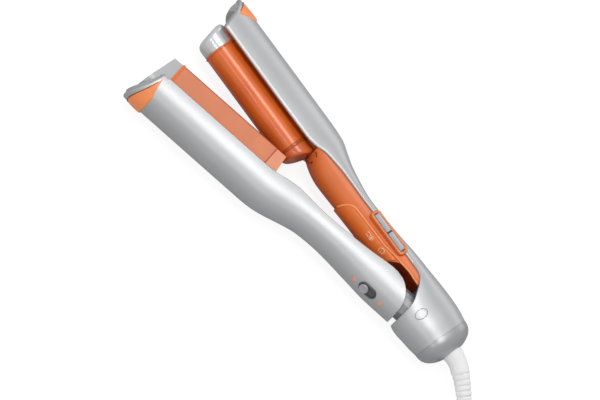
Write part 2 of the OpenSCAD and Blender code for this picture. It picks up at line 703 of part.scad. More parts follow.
module left_inner_cover() {
    function ring(x) =
        let (h = read(floor_rows, x, 1), low = floor_half(x, h) - 0.3, high = floor_half(x, h + cover_t) - 0.3)
        [[x, h, mid - low], [x, h, mid + low], [x, h + cover_t, mid + high], [x, h + cover_t, mid - high]];
    stations = concat([22, 36, 37.2, 39, 40.5, 43, 46], steps(56, left_cover_end, 9));
    color([0.86, 0.42, 0.18])
        opened()
            solid_skin([for (x = stations) ring(x)],
                [stations[0], ring(stations[0])[0][1] + cover_t / 2, mid],
                [left_cover_end, ring(left_cover_end)[0][1] + cover_t / 2, mid]);
}

neck_half = 13;
module hinge_knuckle() {
    // eye round the pin, the neck that shows between the arms, and a tongue inside the arm
    color([0.55, 0.56, 0.57])
        opened()
            difference() {
                union() {
                    translate([0, 0, mid - knuckle_w / 2])
                        cylinder(h = knuckle_w, r = knuckle_r, $fn = 64);
                    along_x(0, 9.2)
                        translate([-knuckle_r, -knuckle_w / 2])
                            square([2 * knuckle_r - 4.2, knuckle_w]);
                    along_x(9, 22)
                        polygon([[-12, -8], [-12, 8], [-8, neck_half - 1], [-4, neck_half], [1, neck_half], [6.4, 7.5],
                            [6.4, -7.5], [1, -neck_half], [-4, -neck_half], [-8, 1 - neck_half]]);
                    translate([20, 2.8, mid - 9])
                        cube([42, 4.4, 18]);
                }
                translate([0, 0, -1])
                    cylinder(h = head_w + 2, d = pin_d + 2 * pin_fit, $fn = 64);
                // room for the spring round the pin
                translate([0, 0, spring_low])
                    cylinder(h = head_w, r = spring_r + 1.2, $fn = 64);
                for (x = [32, 54])
                    translate([x, -6, mid])
                        rotate([-90, 0, 0])
                            cylinder(h = 20, d = 2.6, $fn = 32);
            }
}
module knuckle_screws() {
    color([0.75, 0.75, 0.78])
        opened()
            for (x = [32, 54])
                translate([x, 2.8, mid])
                    rotate([-90, 0, 0])
                        union() {
                            cylinder(h = 4.4, d = 2.6, $fn = 32);
                            translate([0, 0, 4.4])
                                cylinder(h = 1.4, d = 5, $fn = 32);
                        }
}

// The trough is a U-shaped channel about the closed barrel's axis
module channel(inner, outer) {
    difference() {
        union() {
            translate([-barrel_drop, 0])
                circle(r = outer, $fn = 64);
            translate([-wall_top, -outer])
                square([wall_top - barrel_drop, 2 * outer]);
        }
        translate([-barrel_drop, 0])
            circle(r = inner, $fn = 64);
        translate([-wall_top - 1, -inner])
            square([wall_top + 1 - barrel_drop, 2 * inner]);
        translate([-wall_top - 40, -outer - 1])
            square([40, 2 * outer + 2]);
    }
}
band_l = 2.4;
trough_start = barrel_start + 2.4;
trough_end = barrel_end + 2;
module trough_plate() {
    color([0.88, 0.54, 0.4])
        opened()
            along_x(trough_start, trough_end)
                channel(trough_in, trough_out);
}
module trough_nose_band() {
    color([0.92, 0.5, 0.2])
        opened()
            along_x(trough_end, trough_end + band_l)
                channel(trough_in - 0.1, trough_out + 0.1);
}
module trough_heel_band() {
    color([0.85, 0.48, 0.2])
        opened()
            along_x(trough_start - band_l, trough_start)
                channel(trough_in - 0.1, trough_out + 0.1);
}
module trough_heel_cap() {
    color([0.85, 0.55, 0.4])
        opened()
            difference() {
                along_x(trough_start - band_l - 9, trough_start - band_l)
                    channel(trough_in, trough_out);
                translate([trough_start - band_l - 3.6, -wall_top, mid])
                    rotate([0, 0, heel_slant])
                        translate([-40, -30, -20])
                            cube([40, 90, 40]);
            }
}
module trough_nose_cap() {
    color([0.68, 0.69, 0.7])
        opened()
            difference() {
                along_x(trough_end + band_l, arm_len + 8)
                    channel(trough_in, trough_out);
                translate([arm_len - 0.6, -left_rim, mid])
                    rotate([0, 0, -tip_slant])
                        translate([0, -40, -20])
                            cube([30, 90, 40]);
            }
}
module trough_bezel() {
    // two strips that fill the step between the trough and the shell's rim
    strip_t = 0.68 * (mid - shell_t - trough_out);
    color([0.7, 0.71, 0.72])
        opened()
            for (side = [-1, 1])
                along_x(trough_start - 2, trough_end - 4)
                    translate([-left_rim + 0.4, side * (trough_out + mid - shell_t) / 2 - strip_t / 2])
                        square([2.4, strip_t]);
}
trough_back = -barrel_drop + trough_out;
module trough_heater() {
    color([0.9, 0.88, 0.8])
        opened()
            translate([core_start + 6, trough_back + 0.05, mid - 6])
                cube([core_end - core_start - 12, 2.6, 12]);
}
module heater_clip() {
    // spring clip between the heater and the shell
    clip_h = left_back - shell_t - trough_back - 2.65 - 0.2;
    color([0.75, 0.75, 0.77])
        opened()
            for (x = [core_start + 14, core_end - 24])
                translate([x, trough_back + 2.65, mid - 3])
                    cube([10, clip_h, 6]);
}
module left_tip_plug() {
    // fills the tip between the trough and the shell
    angles = tip_angles(0);
    ends = [tip_stations[tip_steps - 1], arm_len - 0.4];
    r = trough_out + fit;
    function inner(x, a) =
        let (h = sin(a) > 0.9999 || sin(a) < -0.9999 ? -left_rim : -barrel_drop - r * cos(a))
        [x + tip_shift(x, h + left_rim, r * sin(a)), h, mid + r * sin(a)];
    color([0.68, 0.69, 0.7])
        opened()
            wall_skin([for (x = ends) reversed(concat([for (a = angles) left_point(x, a, shell_t)],
                [for (a = reversed(angles)) inner(x, a)]))], shell_count);
}
module left_cool_tip() {
    angles = tip_angles(cool_skip);
    color([0.95, 0.5, 0.24])
        opened()
            wall_skin([for (i = [0 : tip_steps - 1])
                reversed(concat([for (a = angles) left_point(tip_stations[i], a, 0, tip_pad)],
                    [for (a = reversed(angles)) left_point(tip_stations[i], a, 0)]))], len(angles) - 1);
}

// Lock slider: a bezel with a slot, and a knob that slides between two dots
module lock_bezel() {
    color([0.35, 0.36, 0.38])
        opened()
            on_lock(lock_x)
                difference() {
                    stadium(bezel_l, bezel_w, -bezel_sink, 0.8);
                    translate([0, 0, -3])
                        slab(lock_travel + 2.8, 2.8, 6);
                }
}
module lock_slider() {
    color([0.78, 0.79, 0.8])
        opened()
            on_lock(lock_x)
                translate([lock_travel / 2, 0, 0])
                    union() {
                        translate([0, 0, 0.85])
                            cylinder(h = 1.8, d = knob_d, $fn = 48);
                        translate([0, 0, -2.8])
                            slab(2.6, 2.6, 4.1);
                    }
}
module lock_dots() {
    color([0.95, 0.55, 0.4])
        opened()
            for (x = dot_x)
                on_lock(x, lock_angle + 4)
                    translate([0, 0, -dot_sink])
                        cylinder(h = dot_sink + 0.3, d = dot_d, $fn = 32);
}

// ---- Cord: it leaves the end cap, drops to the table and is coiled behind the waver ----
cord_r = cord_d / 2;
coil_mid = [-148.5, -10];
coil_start = 60;               // angle where the cord joins the coil
coil_r = 47;                   // radius of the outer loop
coil_pitch = cord_d + 0.55;    // from one loop, or one layer, to the next
coil_turns = 3.25;             // loops in each layer, before and after the climb
coil_steps = 24;
coil_total = 2 * coil_turns + 0.5;
// The lower layer spirals in, the cord climbs in half a turn, and the upper layer spirals out
function coil_radius(t) = coil_r - coil_pitch * min(t, coil_total - t);
function coil_height(t) = cord_r + coil_pitch
    * (t < coil_turns ? 0 : t > coil_turns + 0.5 ? 1 : (1 - cos(360 * (t - coil_turns))) / 2);
spiral = [for (i = [0 : coil_total * coil_steps]) let (t = i / coil_steps, a = coil_start + 360 * t)
    [coil_mid[0] + coil_radius(t) * cos(a), coil_mid[1] + coil_radius(t) * sin(a), coil_height(t)]];
// The least gap between turns that lie half a turn or more apart, measured on the points
half_turn = coil_steps / 2;
coil_gap = min([for (i = [0 : len(spiral) - 1 - half_turn]) for (j = [i + half_turn : len(spiral) - 1])
    norm(spiral[i] - spiral[j])]) - cord_d;
echo(coil_gap = coil_gap);
lay = [-sin(coil_start), cos(coil_start), 0];      // the way the cord runs where it joins
// From the end cap: hand-laid points of the strain relief, then of the cord
relief_rings = 3;
relief_route = [[cap_end - 4, relief_y, mid], [-46, -7.6, 18.2], [-54, -4.6, 16.6], [-62, -1, 14.2],
    [-70, 3, 11.4], [-78, 7.2, 8.6], [-86, 11.4, 6.2], [-95, 16.2, 4.2], [-105, 21, 3.2],
    spiral[0] - 2 * cord_d * lay];
out_route = concat([[cap_end + 5, relief_y, mid], [cap_end + shell_t + fit, relief_y, mid],
    [cap_end + shell_t + fit, relief_y, mid], [cap_end, relief_y, mid], [cap_end, relief_y, mid]],
    route(relief_route, relief_rings), [spiral[0] - cord_d * lay]);
relief_last = 5 + 6 * relief_rings;
function relief_radius(i) = i < 2 ? relief_flange : i < 4 ? relief_neck
    : let (s = (i - 4) / (relief_last - 4), r = relief_d / 2 + (relief_end_d - relief_d) / 2 * s)
        i > 12 && i < relief_last && i % 2 == 0 ? r - 0.9 : r;
tail_route = [spiral[len(spiral) - 1] + 2 * cord_d * lay, [-148, 42.4, 8.4], [-160, 47.8, 6.8],
    [-172, 52, 6.8], [-184, 55.4, 8]];
plug_at = [-196, 58.4, 8.5];
plug_turn = 166;
tail_points = concat([spiral[len(spiral) - 1] + cord_d * lay], route(tail_route, 2),
    [plug_at - cord_d * [cos(plug_turn), sin(plug_turn), 0], plug_at]);
module strain_relief() {
    color([0.93, 0.93, 0.93])
        tube(out_route, [for (i = [0 : relief_last]) relief_radius(i)], 12, 0, relief_last);
}
module cord_lead() {
    color([0.93, 0.93, 0.93])
        tube(out_route, cord_r, 8, relief_last);
}
module cord_coil() {
    color([0.93, 0.93, 0.93])
        tube(concat([spiral[0] - cord_d * lay], spiral, [spiral[len(spiral) - 1] + cord_d * lay]), cord_r, 6);
}
module cord_tail() {
    color([0.93, 0.93, 0.93])
        tube(tail_points, cord_r, 8);
}
plug_l = 30;
plug_neck = 10;
module at_plug() {
    translate(plug_at)
        rotate([0, 90, plug_turn])
            children();
}
module plug_body() {
    // turned neck round the cord, and a flat grip
    color([0.93, 0.93, 0.93])
        at_plug()
            union() {
                cylinder(h = plug_neck + 2, r1 = 5, r2 = 6.5, $fn = 48);
                translate([-8.5, -12.5, plug_neck])
                    cube([17, 25, plug_l - plug_neck]);
            }
}
module plug_pins() {
    color([0.82, 0.8, 0.74])
        at_plug()
            for (side = [-1, 1])
                translate([-3.2, side * 6.35 - 0.8, plug_l])
                    cube([6.4, 1.6, 17.5]);
}

right_shell();
end_cap();
right_inner_cover();
control_pad();
button_frame();
power_button();
mode_button();
tact_switches();
circuit_board();
barrel_tray();
barrel();
barrel_heel_ring();
barrel_heel_cap();
barrel_nose_cap();
barrel_core();
barrel_heater();
barrel_sensor();
right_tip_plug();
right_cool_tip();
hinge_bracket();
hinge_pin();
hinge_cap_top();
hinge_foot();
hinge_spring();
bracket_screws();
board_lead();
left_shell();
left_inner_cover();
hinge_knuckle();
knuckle_screws();
trough_plate();
trough_nose_band();
trough_heel_band();
trough_nose_cap();
trough_heel_cap();
trough_bezel();
trough_heater();
heater_clip();
left_tip_plug();
left_cool_tip();
lock_bezel();
lock_slider();
lock_dots();
strain_relief();
cord_lead();
cord_coil();
cord_tail();
plug_body();
plug_pins();
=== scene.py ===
# Hair waver with two hinged arms: a silver body with an orange barrel, trough and handle
# cover, on a white cord. The sections follow the object as it is put together.
from math import radians

import bmesh
import bpy
import numpy as np
from mathutils import Matrix


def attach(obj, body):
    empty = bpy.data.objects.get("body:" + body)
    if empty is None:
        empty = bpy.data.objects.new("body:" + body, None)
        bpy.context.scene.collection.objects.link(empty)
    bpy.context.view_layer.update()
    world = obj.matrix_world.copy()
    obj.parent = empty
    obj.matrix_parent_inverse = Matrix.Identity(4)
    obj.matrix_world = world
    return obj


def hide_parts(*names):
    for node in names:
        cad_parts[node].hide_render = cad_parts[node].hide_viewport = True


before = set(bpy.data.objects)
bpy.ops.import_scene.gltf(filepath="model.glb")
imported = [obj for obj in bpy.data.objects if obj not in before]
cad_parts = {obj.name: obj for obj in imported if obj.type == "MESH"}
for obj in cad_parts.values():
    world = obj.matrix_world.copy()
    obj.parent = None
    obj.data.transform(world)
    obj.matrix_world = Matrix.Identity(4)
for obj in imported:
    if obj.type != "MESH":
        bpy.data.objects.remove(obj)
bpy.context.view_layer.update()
scene = bpy.context.scene
MM = 0.001

# ---- Camera ----
# It looks down on the waver, which lies on its side, with the tips at the upper left.
# The lens is long, because the two arms of the photographed waver hardly narrow away.
toward_camera = np.array([-0.09, 0.384, 0.919])
picture_up = np.array([0.8024, -0.5187, 0.2953])
picture_middle = np.array([0.12313, 0.01488, 0.01481])
picture_width = 0.447
camera_distance = 4.0
camera = bpy.data.objects.new("camera", bpy.data.cameras.new("camera"))
camera.data.lens = camera.data.sensor_width * camera_distance / picture_width
picture_right = np.cross(picture_up, toward_camera)
camera.matrix_world = Matrix.Translation(picture_middle + camera_distance * toward_camera) @ Matrix(
    np.stack([picture_right, picture_up, toward_camera], 1).tolist()).to_4x4()
scene.collection.objects.link(camera)
scene.camera = camera

# ---- Cord, strain relief and plug ----
# A 6 mm white mains cord. It leaves the end cap in a ribbed rubber strain relief, falls
# to the table, and lies wound in two layers behind the waver, with its plug beside it.
mid = 19.0                      # height of the middle plane over the table
cord_r = 3.0
cap_end, relief_y = -35.5, -8.7
coil_mid, coil_r, coil_pitch = np.array([-148.5, -10.0]), 47.0, 6.55
coil_start, coil_total, climb_turn, turn_steps = 60.0, 7.0, 3.25, 36
plug_at, plug_turn = np.array([-196.0, 58.4, 8.5]), 166.0


def tree_of(owner):
    """Switches on the shader nodes of a material or a world, and gives its nodes and links."""
    owner.use_nodes = True
    return owner.node_tree.nodes, owner.node_tree.links


def dial(node, **values):
    """Sets a shader node's inputs. An underscore in a word stands for a space."""
    for word, value in values.items():
        node.inputs[word.replace("_", " ")].default_value = value


def limit(v):
    """Values held between 0 and 1."""
    return np.clip(v, 0, 1)


def finish(name, colour, roughness, metallic=0.0, coat=0.0, coat_roughness=0.1, grain=1400,
           shade=0.05, rough_shift=0.05, bump=0.006, patch=45, pale=None):
    """A moulded or painted surface. Its colour drifts between a darker and a paler shade in
    broad patches, and a fine grain moves its roughness and lifts the surface a little."""
    material = bpy.data.materials.new(name)
    nodes, links = tree_of(material)
    shader = nodes["Principled BSDF"]
    dial(shader, Metallic=metallic, Coat_Weight=coat, Coat_Roughness=coat_roughness)
    place = nodes.new("ShaderNodeTexCoord")

    def noise(scale, detail):
        n = nodes.new("ShaderNodeTexNoise")
        dial(n, Scale=scale, Detail=detail)
        links.new(place.outputs["Object"], n.inputs["Vector"])
        return n.outputs["Fac"]

    def mapped(source, low, high, **to):
        n = nodes.new("ShaderNodeMapRange")
        dial(n, From_Min=low, From_Max=high, **to)
        links.new(source, n.inputs["Value"])
        return n.outputs["Result"]

    linear = np.array(colour) ** 2.2
    paler = linear * (1 + shade) if pale is None else np.array(pale) ** 2.2
    tone = nodes.new("ShaderNodeMix")
    tone.data_type = "RGBA"
    dial(tone, A=(*limit(linear * (1 - shade)), 1), B=(*limit(paler), 1))
    links.new(mapped(noise(patch, 3), 0.35, 0.65), tone.inputs["Factor"])
    links.new(tone.outputs["Result"], shader.inputs["Base Color"])
    fine = noise(grain, 4)
    rough = mapped(fine, 0.3, 0.7, To_Min=max(roughness - rough_shift, 0.02), To_Max=roughness + rough_shift)
    links.new(rough, shader.inputs["Roughness"])
    lift = nodes.new("ShaderNodeBump")
    dial(lift, Strength=0.5, Distance=bump * MM)
    links.new(fine, lift.inputs["Height"])
    links.new(lift.outputs["Normal"], shader.inputs["Normal"])
    return material


def clad(names, material):
    """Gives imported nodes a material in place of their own."""
    for name in names.split():
        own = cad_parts[name].data.materials
        own.clear()
        own.append(material)


def grid_faces(rows, cols, close_rows=False):
    """Quads between neighbouring points of a grid, whose rows are rings."""
    r = np.arange(rows if close_rows else rows - 1)[:, None]
    c = np.arange(cols)[None, :]
    across, down = (c + 1) % cols, (r + 1) % rows
    quads = [r * cols + c, r * cols + across, down * cols + across, down * cols + c]
    return np.stack(np.broadcast_arrays(*quads), -1).reshape(-1, 4).tolist()


def make(name, points, faces, material=None, body="fixed_arm", slot=None, nodes="", sharp=40):
    """Puts points in millimetres and faces into a mesh in metres. Points that meet are
    merged, faces are turned outwards, and edges sharper than the angle stay crisp. A piece
    without a material rides on no body: it cuts other pieces, or lies under them."""
    mesh = bpy.data.meshes.new(name)
    mesh.from_pydata((np.asarray(points, float).reshape(-1, 3) * MM).tolist(), [], faces)
    work = bmesh.new()
    work.from_mesh(mesh)
    bmesh.ops.remove_doubles(work, verts=work.verts, dist=0.002 * MM)
    bmesh.ops.recalc_face_normals(work, faces=work.faces)
    work.to_mesh(mesh)
    work.free()
    mesh.shade_smooth()
    mesh.set_sharp_from_angle(angle=radians(sharp))
    piece = bpy.data.objects.new(name, mesh)
    scene.collection.objects.link(piece)
    if material is not None:
        mesh.materials.append(material)
        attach(piece, body)
    if nodes:
        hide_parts(*nodes.split())
    return piece


def make_grid(name, grid, material=None, body="fixed_arm", close_rows=False, **more):
    """A closed surface from a grid whose rows are rings. Its last row either meets the first
    again, or it gets two flat ends."""
    grid = grid if close_rows else ended(grid)
    return make(name, grid, grid_faces(*grid.shape[:2], close_rows), material, body, **more)


def ended(grid):
    """The grid with its first and last rows drawn in to their middles, as flat ends."""
    ends = [np.broadcast_to(row.mean(0), row.shape) for row in (grid[0], grid[-1])]
    return np.concatenate([ends[0][None], grid, ends[1][None]])


def through(points, count):
    """A smooth route through listed points: on each stretch a cubic that leaves and
    arrives along the line between the neighbours on either side."""
    p = np.pad(np.asarray(points, float), ((1, 1), (0, 0)), mode="edge")
    a, b, c, d = (p[i:len(p) - 3 + i, None] for i in range(4))
    s = (np.arange(count) / count)[:, None]
    curve = 0.5 * (2 * b + (c - a) * s + (2 * a - 5 * b + 4 * c - d) * s**2
                   + (3 * b - a - 3 * c + d) * s**3)
    return np.concatenate([curve.reshape(-1, 3), p[-1:]])


def unit(v):
    """Directions with a length of one."""
    return v / np.maximum(np.linalg.norm(v, axis=-1, keepdims=True), 1e-9)


def tube(path, radius, sides=14):
    """A ring of points round each point of a path. Each ring stands square to the path, and
    its first point lies to the side, so that the rings don't twist."""
    p = np.asarray(path, float)
    t = unit(np.gradient(p, axis=0))
    side = unit(np.cross(t, [0, 0, 1.0]))
    up = np.cross(side, t)
    a = np.linspace(0, 2 * np.pi, sides, endpoint=False)[None, :, None]
    r = np.broadcast_to(np.asarray(radius, float), len(p))[:, None, None]
    return p[:, None] + r * (np.cos(a) * side[:, None] + np.sin(a) * up[:, None])


def cos_sin(degrees):
    """Cosine and sine of an angle in degrees."""
    return np.cos(np.radians(degrees)), np.sin(np.radians(degrees))


def xyz(x, y, z):
    """Points from their coordinates, which may differ in shape."""
    return np.stack(np.broadcast_arrays(x, y, z), -1)


turns = np.arange(int(coil_total * turn_steps) + 1) / turn_steps
coil_radius = coil_r - coil_pitch * np.minimum(turns, coil_total - turns)
climb = limit((turns - climb_turn) / 0.5)
c, s = cos_sin(coil_start + 360 * turns)
spiral = xyz(coil_mid[0] + coil_radius * c, coil_mid[1] + coil_radius * s,
             cord_r + coil_pitch * (1 - np.cos(np.pi * climb)) / 2)
lay = np.array([-s[0], c[0], 0])
cord_exit = np.array([cap_end, relief_y, mid])
way_out = through([[cap_end - 4, relief_y, mid], [-46, -7.6, 18.2], [-54, -4.6, 16.6], [-62, -1, 14.2],
                   [-70, 3, 11.4], [-78, 7.2, 8.6], [-86, 11.4, 6.2], [-95, 16.2, 4.2],
                   [-105, 21, 3.2], spiral[0] - 12 * lay], 4)
way_in = through([spiral[-1] + 12 * lay, [-148, 42.4, 8.4], [-160, 47.8, 6.8], [-172, 52, 6.8],
                  [-184, 55.4, 8]], 4)
plug_way = np.array([*cos_sin(plug_turn), 0])
plug_ends = [plug_at - 6 * plug_way, plug_at + 3 * plug_way]
cord_path = np.concatenate([[cord_exit], way_out, spiral[:1] - 6 * lay, spiral,
                            spiral[-1:] + 6 * lay, way_in, plug_ends])
cord_white = finish("white cord jacket", (0.93, 0.93, 0.93), 0.42, grain=2600, shade=0.02, bump=0.01)
cord = make_grid("cord", tube(cord_path, cord_r), cord_white, slot="cord_white",
                 nodes="cord_lead cord_coil cord_tail")

# strain relief: a smooth collar, then a tapered stretch with grooves cut from both sides
relief_path = through(np.concatenate([[cord_exit], way_out[:25:4]]), 16)
along = np.linspace(0, 1, len(relief_path))
collar, groove_count, relief_sides = 0.36, 15.5, 40
ribs = limit((along - collar) / 0.03) * limit((0.985 - along) / 0.02)
groove = ribs / (1 + np.exp(-14 * (np.sin(2 * np.pi * along * groove_count) - 0.45)))
swell = limit(1 - ((collar - along) / 0.07) ** 2) * 0.25
relief_r = 8 - 3.4 * along - groove + swell
relief_body = tube(relief_path, relief_r, relief_sides)
ring = np.linspace(0, 2 * np.pi, relief_sides, endpoint=False)
bridge = (0.5 + 0.5 * np.cos(2 * ring))[None, :] ** 6 * (0.9 * groove / relief_r)[:, None]
relief_body += (relief_body - relief_path[:, None]) * bridge[..., None]
relief_rubber = finish("white strain relief rubber", (0.92, 0.92, 0.92), 0.5, grain=2000, shade=0.02,
                       bump=0.012)
relief = make_grid("strain_relief_boot", relief_body, relief_rubber, slot="cord_white",
                   nodes="strain_relief", sharp=60)

# plug: a turned neck that widens into a flat waisted grip, with a shallow front flange. Its
# stations, then its half width, half height and squareness at each
plug_s = np.array([0, 0, 0.6, 3, 7, 10, 12, 15, 19, 23, 26, 27.4, 28, 29.4, 30, 30])
plug_h = np.array([3.4, 4.4, 4.9, 5.1, 5.6, 6.6, 8.4, 10.6, 11.4, 10.6, 11.0, 11.6, 12.2, 12.5, 12.1,
                   11.4])
plug_v = np.array([3.4, 4.4, 4.9, 5.1, 5.5, 6.2, 7.0, 7.6, 7.5, 7.0, 7.2, 7.6, 8.1, 8.4, 8.2, 7.6])
power = 2 / np.array([2, 2, 2, 2, 2.1, 2.3, 2.8, 3.2] + [3.4] * 8)[:, None]
ring = np.linspace(0, 2 * np.pi, 64, endpoint=False)[None, :]


def bent(v, p):
    """A power of the size of a value, with the value's own sign."""
    return np.sign(v) * np.abs(v) ** p


plug_axes = np.stack([plug_way, [-plug_way[1], plug_way[0], 0], [0, 0, 1]])
plug_grid = plug_at + xyz(plug_s[:, None], plug_h[:, None] * bent(np.cos(ring), power),
                          plug_v[:, None] * bent(np.sin(ring), power)) @ plug_axes
plug_white = finish("white plug plastic", (0.92, 0.92, 0.92), 0.4, grain=1600, shade=0.02, bump=0.01)
plug = make_grid("plug_moulding", plug_grid, plug_white, slot="plug_white",
                 nodes="plug_body", sharp=60)
clad("plug_pins", finish("nickel plated blade", (0.8, 0.78, 0.72), 0.25, metallic=1.0, grain=900, patch=200))

# ---- Shell of the fixed arm ----
# One hollow moulding in satin silver paint. It is a whole tube round the hinge, opens at a
# curved mouth, narrows at the neck and widens again to carry the barrel.
wall = 1.8
house_b = 19.0
squareness = 2.4
slant, crown = np.tan(radians(13)), 8.0
tip_start, arm_len = 252.0, 267.0
rear_x, mouth_x, head_x = -22, 7.2, 158
# x, widest line, half width, back and front, all as depths below the hinge axis
right_rows = np.array([
    [-22, 8.4, 17.48, 30.94, -14.14], [-10, 8.4, 19, 32.53, -15.73], [7.2, 9, 19, 32.66, -16.1],
    [25, 15, 18.5, 31.2, -4], [40, 18, 18, 30.1, 3.2], [60, 18.6, 17.1, 28, 3.3],
    [80, 19, 16.4, 26.6, 3.3], [95, 19, 16, 26.5, 2.8], [120, 18.8, 16.5, 31, 1.8],
    [130, 17.6, 17.4, 34.3, 2.4], [140, 15.8, 18.3, 37.7, 5.4], [148, 12.6, 18.8, 38.6, 10],
    [158, 11, 19, 39, 10.5], [267, 11, 19, 39, 10.5]])
# x and depth of the mouth's rim, which from x = 95 on is the widest line
rim_rows = np.array([[7.2, -16.1], [9.7, -1.4], [15, 7.7], [20.2, 14.5], [25.6, 18.6], [34, 19.4],
                     [60, 19.5], *right_rows[7:, :2]])


def smooth(rows, x, k):
    """A curve through a few stations: between two rows a cubic, whose slope at a row is
    that of the line between its neighbours."""
    at, v = rows[:, 0], rows[:, k]
    run, rise = (np.append(q[1:], q[-1]) - np.append(q[0], q[:-1]) for q in (at, v))
    steep = rise / run
    i = np.clip(np.searchsorted(at, x, "right") - 1, 0, len(at) - 2)
    w = at[i + 1] - at[i]
    s = limit((x - at[i]) / w)
    return ((2 * s**3 - 3 * s**2 + 1) * v[i] + (s**3 - 2 * s**2 + s) * w * steep[i]
            + (3 * s**2 - 2 * s**3) * v[i + 1] + (s**3 - s**2) * w * steep[i + 1])


def tip_shift(x, depth, across):
    """Both tips are slanted, with a longer back, and crowned across their width."""
    share = limit((x - tip_start) / (arm_len - tip_start))
    return share * (slant * depth - crown * (across / house_b) ** 2)


def spread(*values):
    """The values as arrays of one shape."""
    return np.broadcast_arrays(*(np.asarray(v, float) for v in values))


def right_station(x, inset=0.0):
    """Widest line, half width, back and front of the fixed arm at a station, drawn in."""
    w, b, back, front = (smooth(right_rows, x, k) for k in (1, 2, 3, 4))
    return w, np.minimum(b, house_b) - inset, back - inset, front + inset


def right_point(x, angle, inset=0.0, proud=0.0):
    """A point of the fixed arm's outline: two half ovals of a rounded square kind that meet at
    the widest line. Angle 0 is the front, 90 the upper side and 180 the back, in degrees."""
    x, angle, inset, proud = spread(x, angle, inset, proud)
    (c, s), (w, b, back, front) = cos_sin(angle), right_station(x, inset)
    depth = w + np.where(c < 0, back + proud - w, front - w) * np.abs(c) ** (2 / squareness)
    across = b * bent(s, 2 / squareness)
    return xyz(x + tip_shift(x, depth - 11, across), -depth, mid + across)


def right_angle(x, depth, inset):
    """The angle at which that outline reaches a depth, in degrees."""
    w, _, back, front = right_station(x, inset)
    fore = limit((w - depth) / (w - front)) ** (squareness / 2)
    aft = limit((depth - w) / (back - w)) ** (squareness / 2)
    return np.where(depth < w, np.degrees(np.arccos(fore)), 180 - np.degrees(np.arccos(aft)))


def make_wall(name, outer, inner, material, body="fixed_arm", tube_rows=0, bulge=0.0, **more):
    """A hollow shell from two grids, outside and inside, joined by rounded rims along both
    sides and by flat strips at both ends. The first tube rows close on themselves."""
    rows, n, k = outer.shape[0], outer.shape[1], 3
    share = (np.arange(1, k + 1) / (k + 1))[None, :, None]

    def rim(edge, next_in, inside):
        way = unit(edge - next_in)
        size = np.linalg.norm(inside - edge, axis=1, keepdims=True) * bulge
        size[:tube_rows] = 0
        return (edge[:, None] + (inside - edge)[:, None] * share
                + (way * size)[:, None] * np.sin(np.pi * share))

    far = rim(outer[:, -1], outer[:, -3], inner[:, -1])
    near = rim(outer[:, 0], outer[:, 2], inner[:, 0])[:, ::-1]
    ring = np.concatenate([outer, far, inner[:, ::-1], near], 1)
    cols = ring.shape[1]
    faces = grid_faces(rows, cols)
    rim_cols = set(range(n - 1, n + k)) | set(range(2 * n + k - 1, cols))
    faces = [f for j, f in enumerate(faces) if j // cols + 1 >= tube_rows or j % cols not in rim_cols]
    for row in (0, rows - 1):
        a = row * cols
        i = np.arange(n - 1)
        last = a + 2 * n + k - 1
        faces += np.stack([a + i, a + i + 1, last - i - 1, last - i], 1).tolist()
        if row >= tube_rows:
            faces.append([a + j for j in range(n - 1, n + k + 1)])
            faces.append([a + j for j in range(2 * n + k - 1, cols)] + [a])
    return make(name, ring, faces, material, body, **more)


def cut_out(piece, *cutters):
    """Takes the cutters' solids out of a piece, and deletes the cutters."""
    for cutter in cutters:
        m = piece.modifiers.new("cut", "BOOLEAN")
        m.operation, m.solver, m.object = "DIFFERENCE", "EXACT", cutter
    held = piece.evaluated_get(bpy.context.evaluated_depsgraph_get())
    mesh = bpy.data.meshes.new_from_object(held)
    piece.modifiers.clear()
    piece.data = mesh
    mesh.name = piece.name
    mesh.set_sharp_from_angle(angle=radians(40))
    for cutter in cutters:
        bpy.data.objects.remove(cutter)


def rounded_outline(half_l, half_w, corner, count=10):
    """An oblong with round corners, as points anticlockwise round its middle."""
    c, s = cos_sin(np.linspace(0, 90, count) + 90 * np.arange(4)[:, None])
    x, y = np.array([[1, -1, -1, 1], [1, 1, -1, -1]])[..., None]
    return np.stack([(half_l - corner) * x + corner * c,
                     (half_w - corner) * y + corner * s], -1).reshape(-1, 2)


def raised(outline_of, profile):
    """A low moulded form: for each profile row of inset and height, the outline that has
    been drawn in by that inset, lifted to that height."""
    return np.stack([xyz(*outline_of(inset).T, height) for inset, height in profile])


def prism(outline, low, high):
    """A plane outline carried from one height to another."""
    return raised(lambda inset: outline, [(0, low), (0, high)])


def oval_outline(half_x, half_y, count=72):
    """An oval, as points anticlockwise round its middle."""
    a = np.linspace(0, 2 * np.pi, count, endpoint=False)
    return np.stack([half_x * np.cos(a), half_y * np.sin(a)], 1)


def shell_rows(*stretches):
    """Stations from several stretches, in order and each only once."""
    return np.unique(np.concatenate(stretches))


shell_x = shell_rows(np.linspace(rear_x, mouth_x, 22), mouth_x + 26.8 * np.linspace(0, 1, 46) ** 1.7,
                     np.linspace(34, head_x, 64), np.linspace(head_x, 247, 14),
                     np.linspace(247, arm_len, 26))
# the last rows go round the edge of the tip: the wall thins while it runs on a little
tip_in, tip_on = [0.12, 0.3, 0.52, 0.8], [0.32, 0.5, 0.6, 0.62]
x = np.concatenate([shell_x, np.full(4, arm_len)])
edge = np.concatenate([np.zeros(len(shell_x)), tip_in])
run_on = np.concatenate([np.zeros(len(shell_x)), tip_on])
rim_depth = smooth(rim_rows, x, 1)
sweep = np.linspace(0, 1, 97)[None, :]
open_row = x > mouth_x + 1e-6


def shell_grid(inset):
    """The outline from rim to rim at each station, drawn in by an inset."""
    first = np.where(open_row, right_angle(x, rim_depth, inset), 0)[:, None]
    grid = right_point(x[:, None], first + (360 - 2 * first) * sweep, inset[:, None])
    grid[..., 0] += run_on[:, None]
    return grid


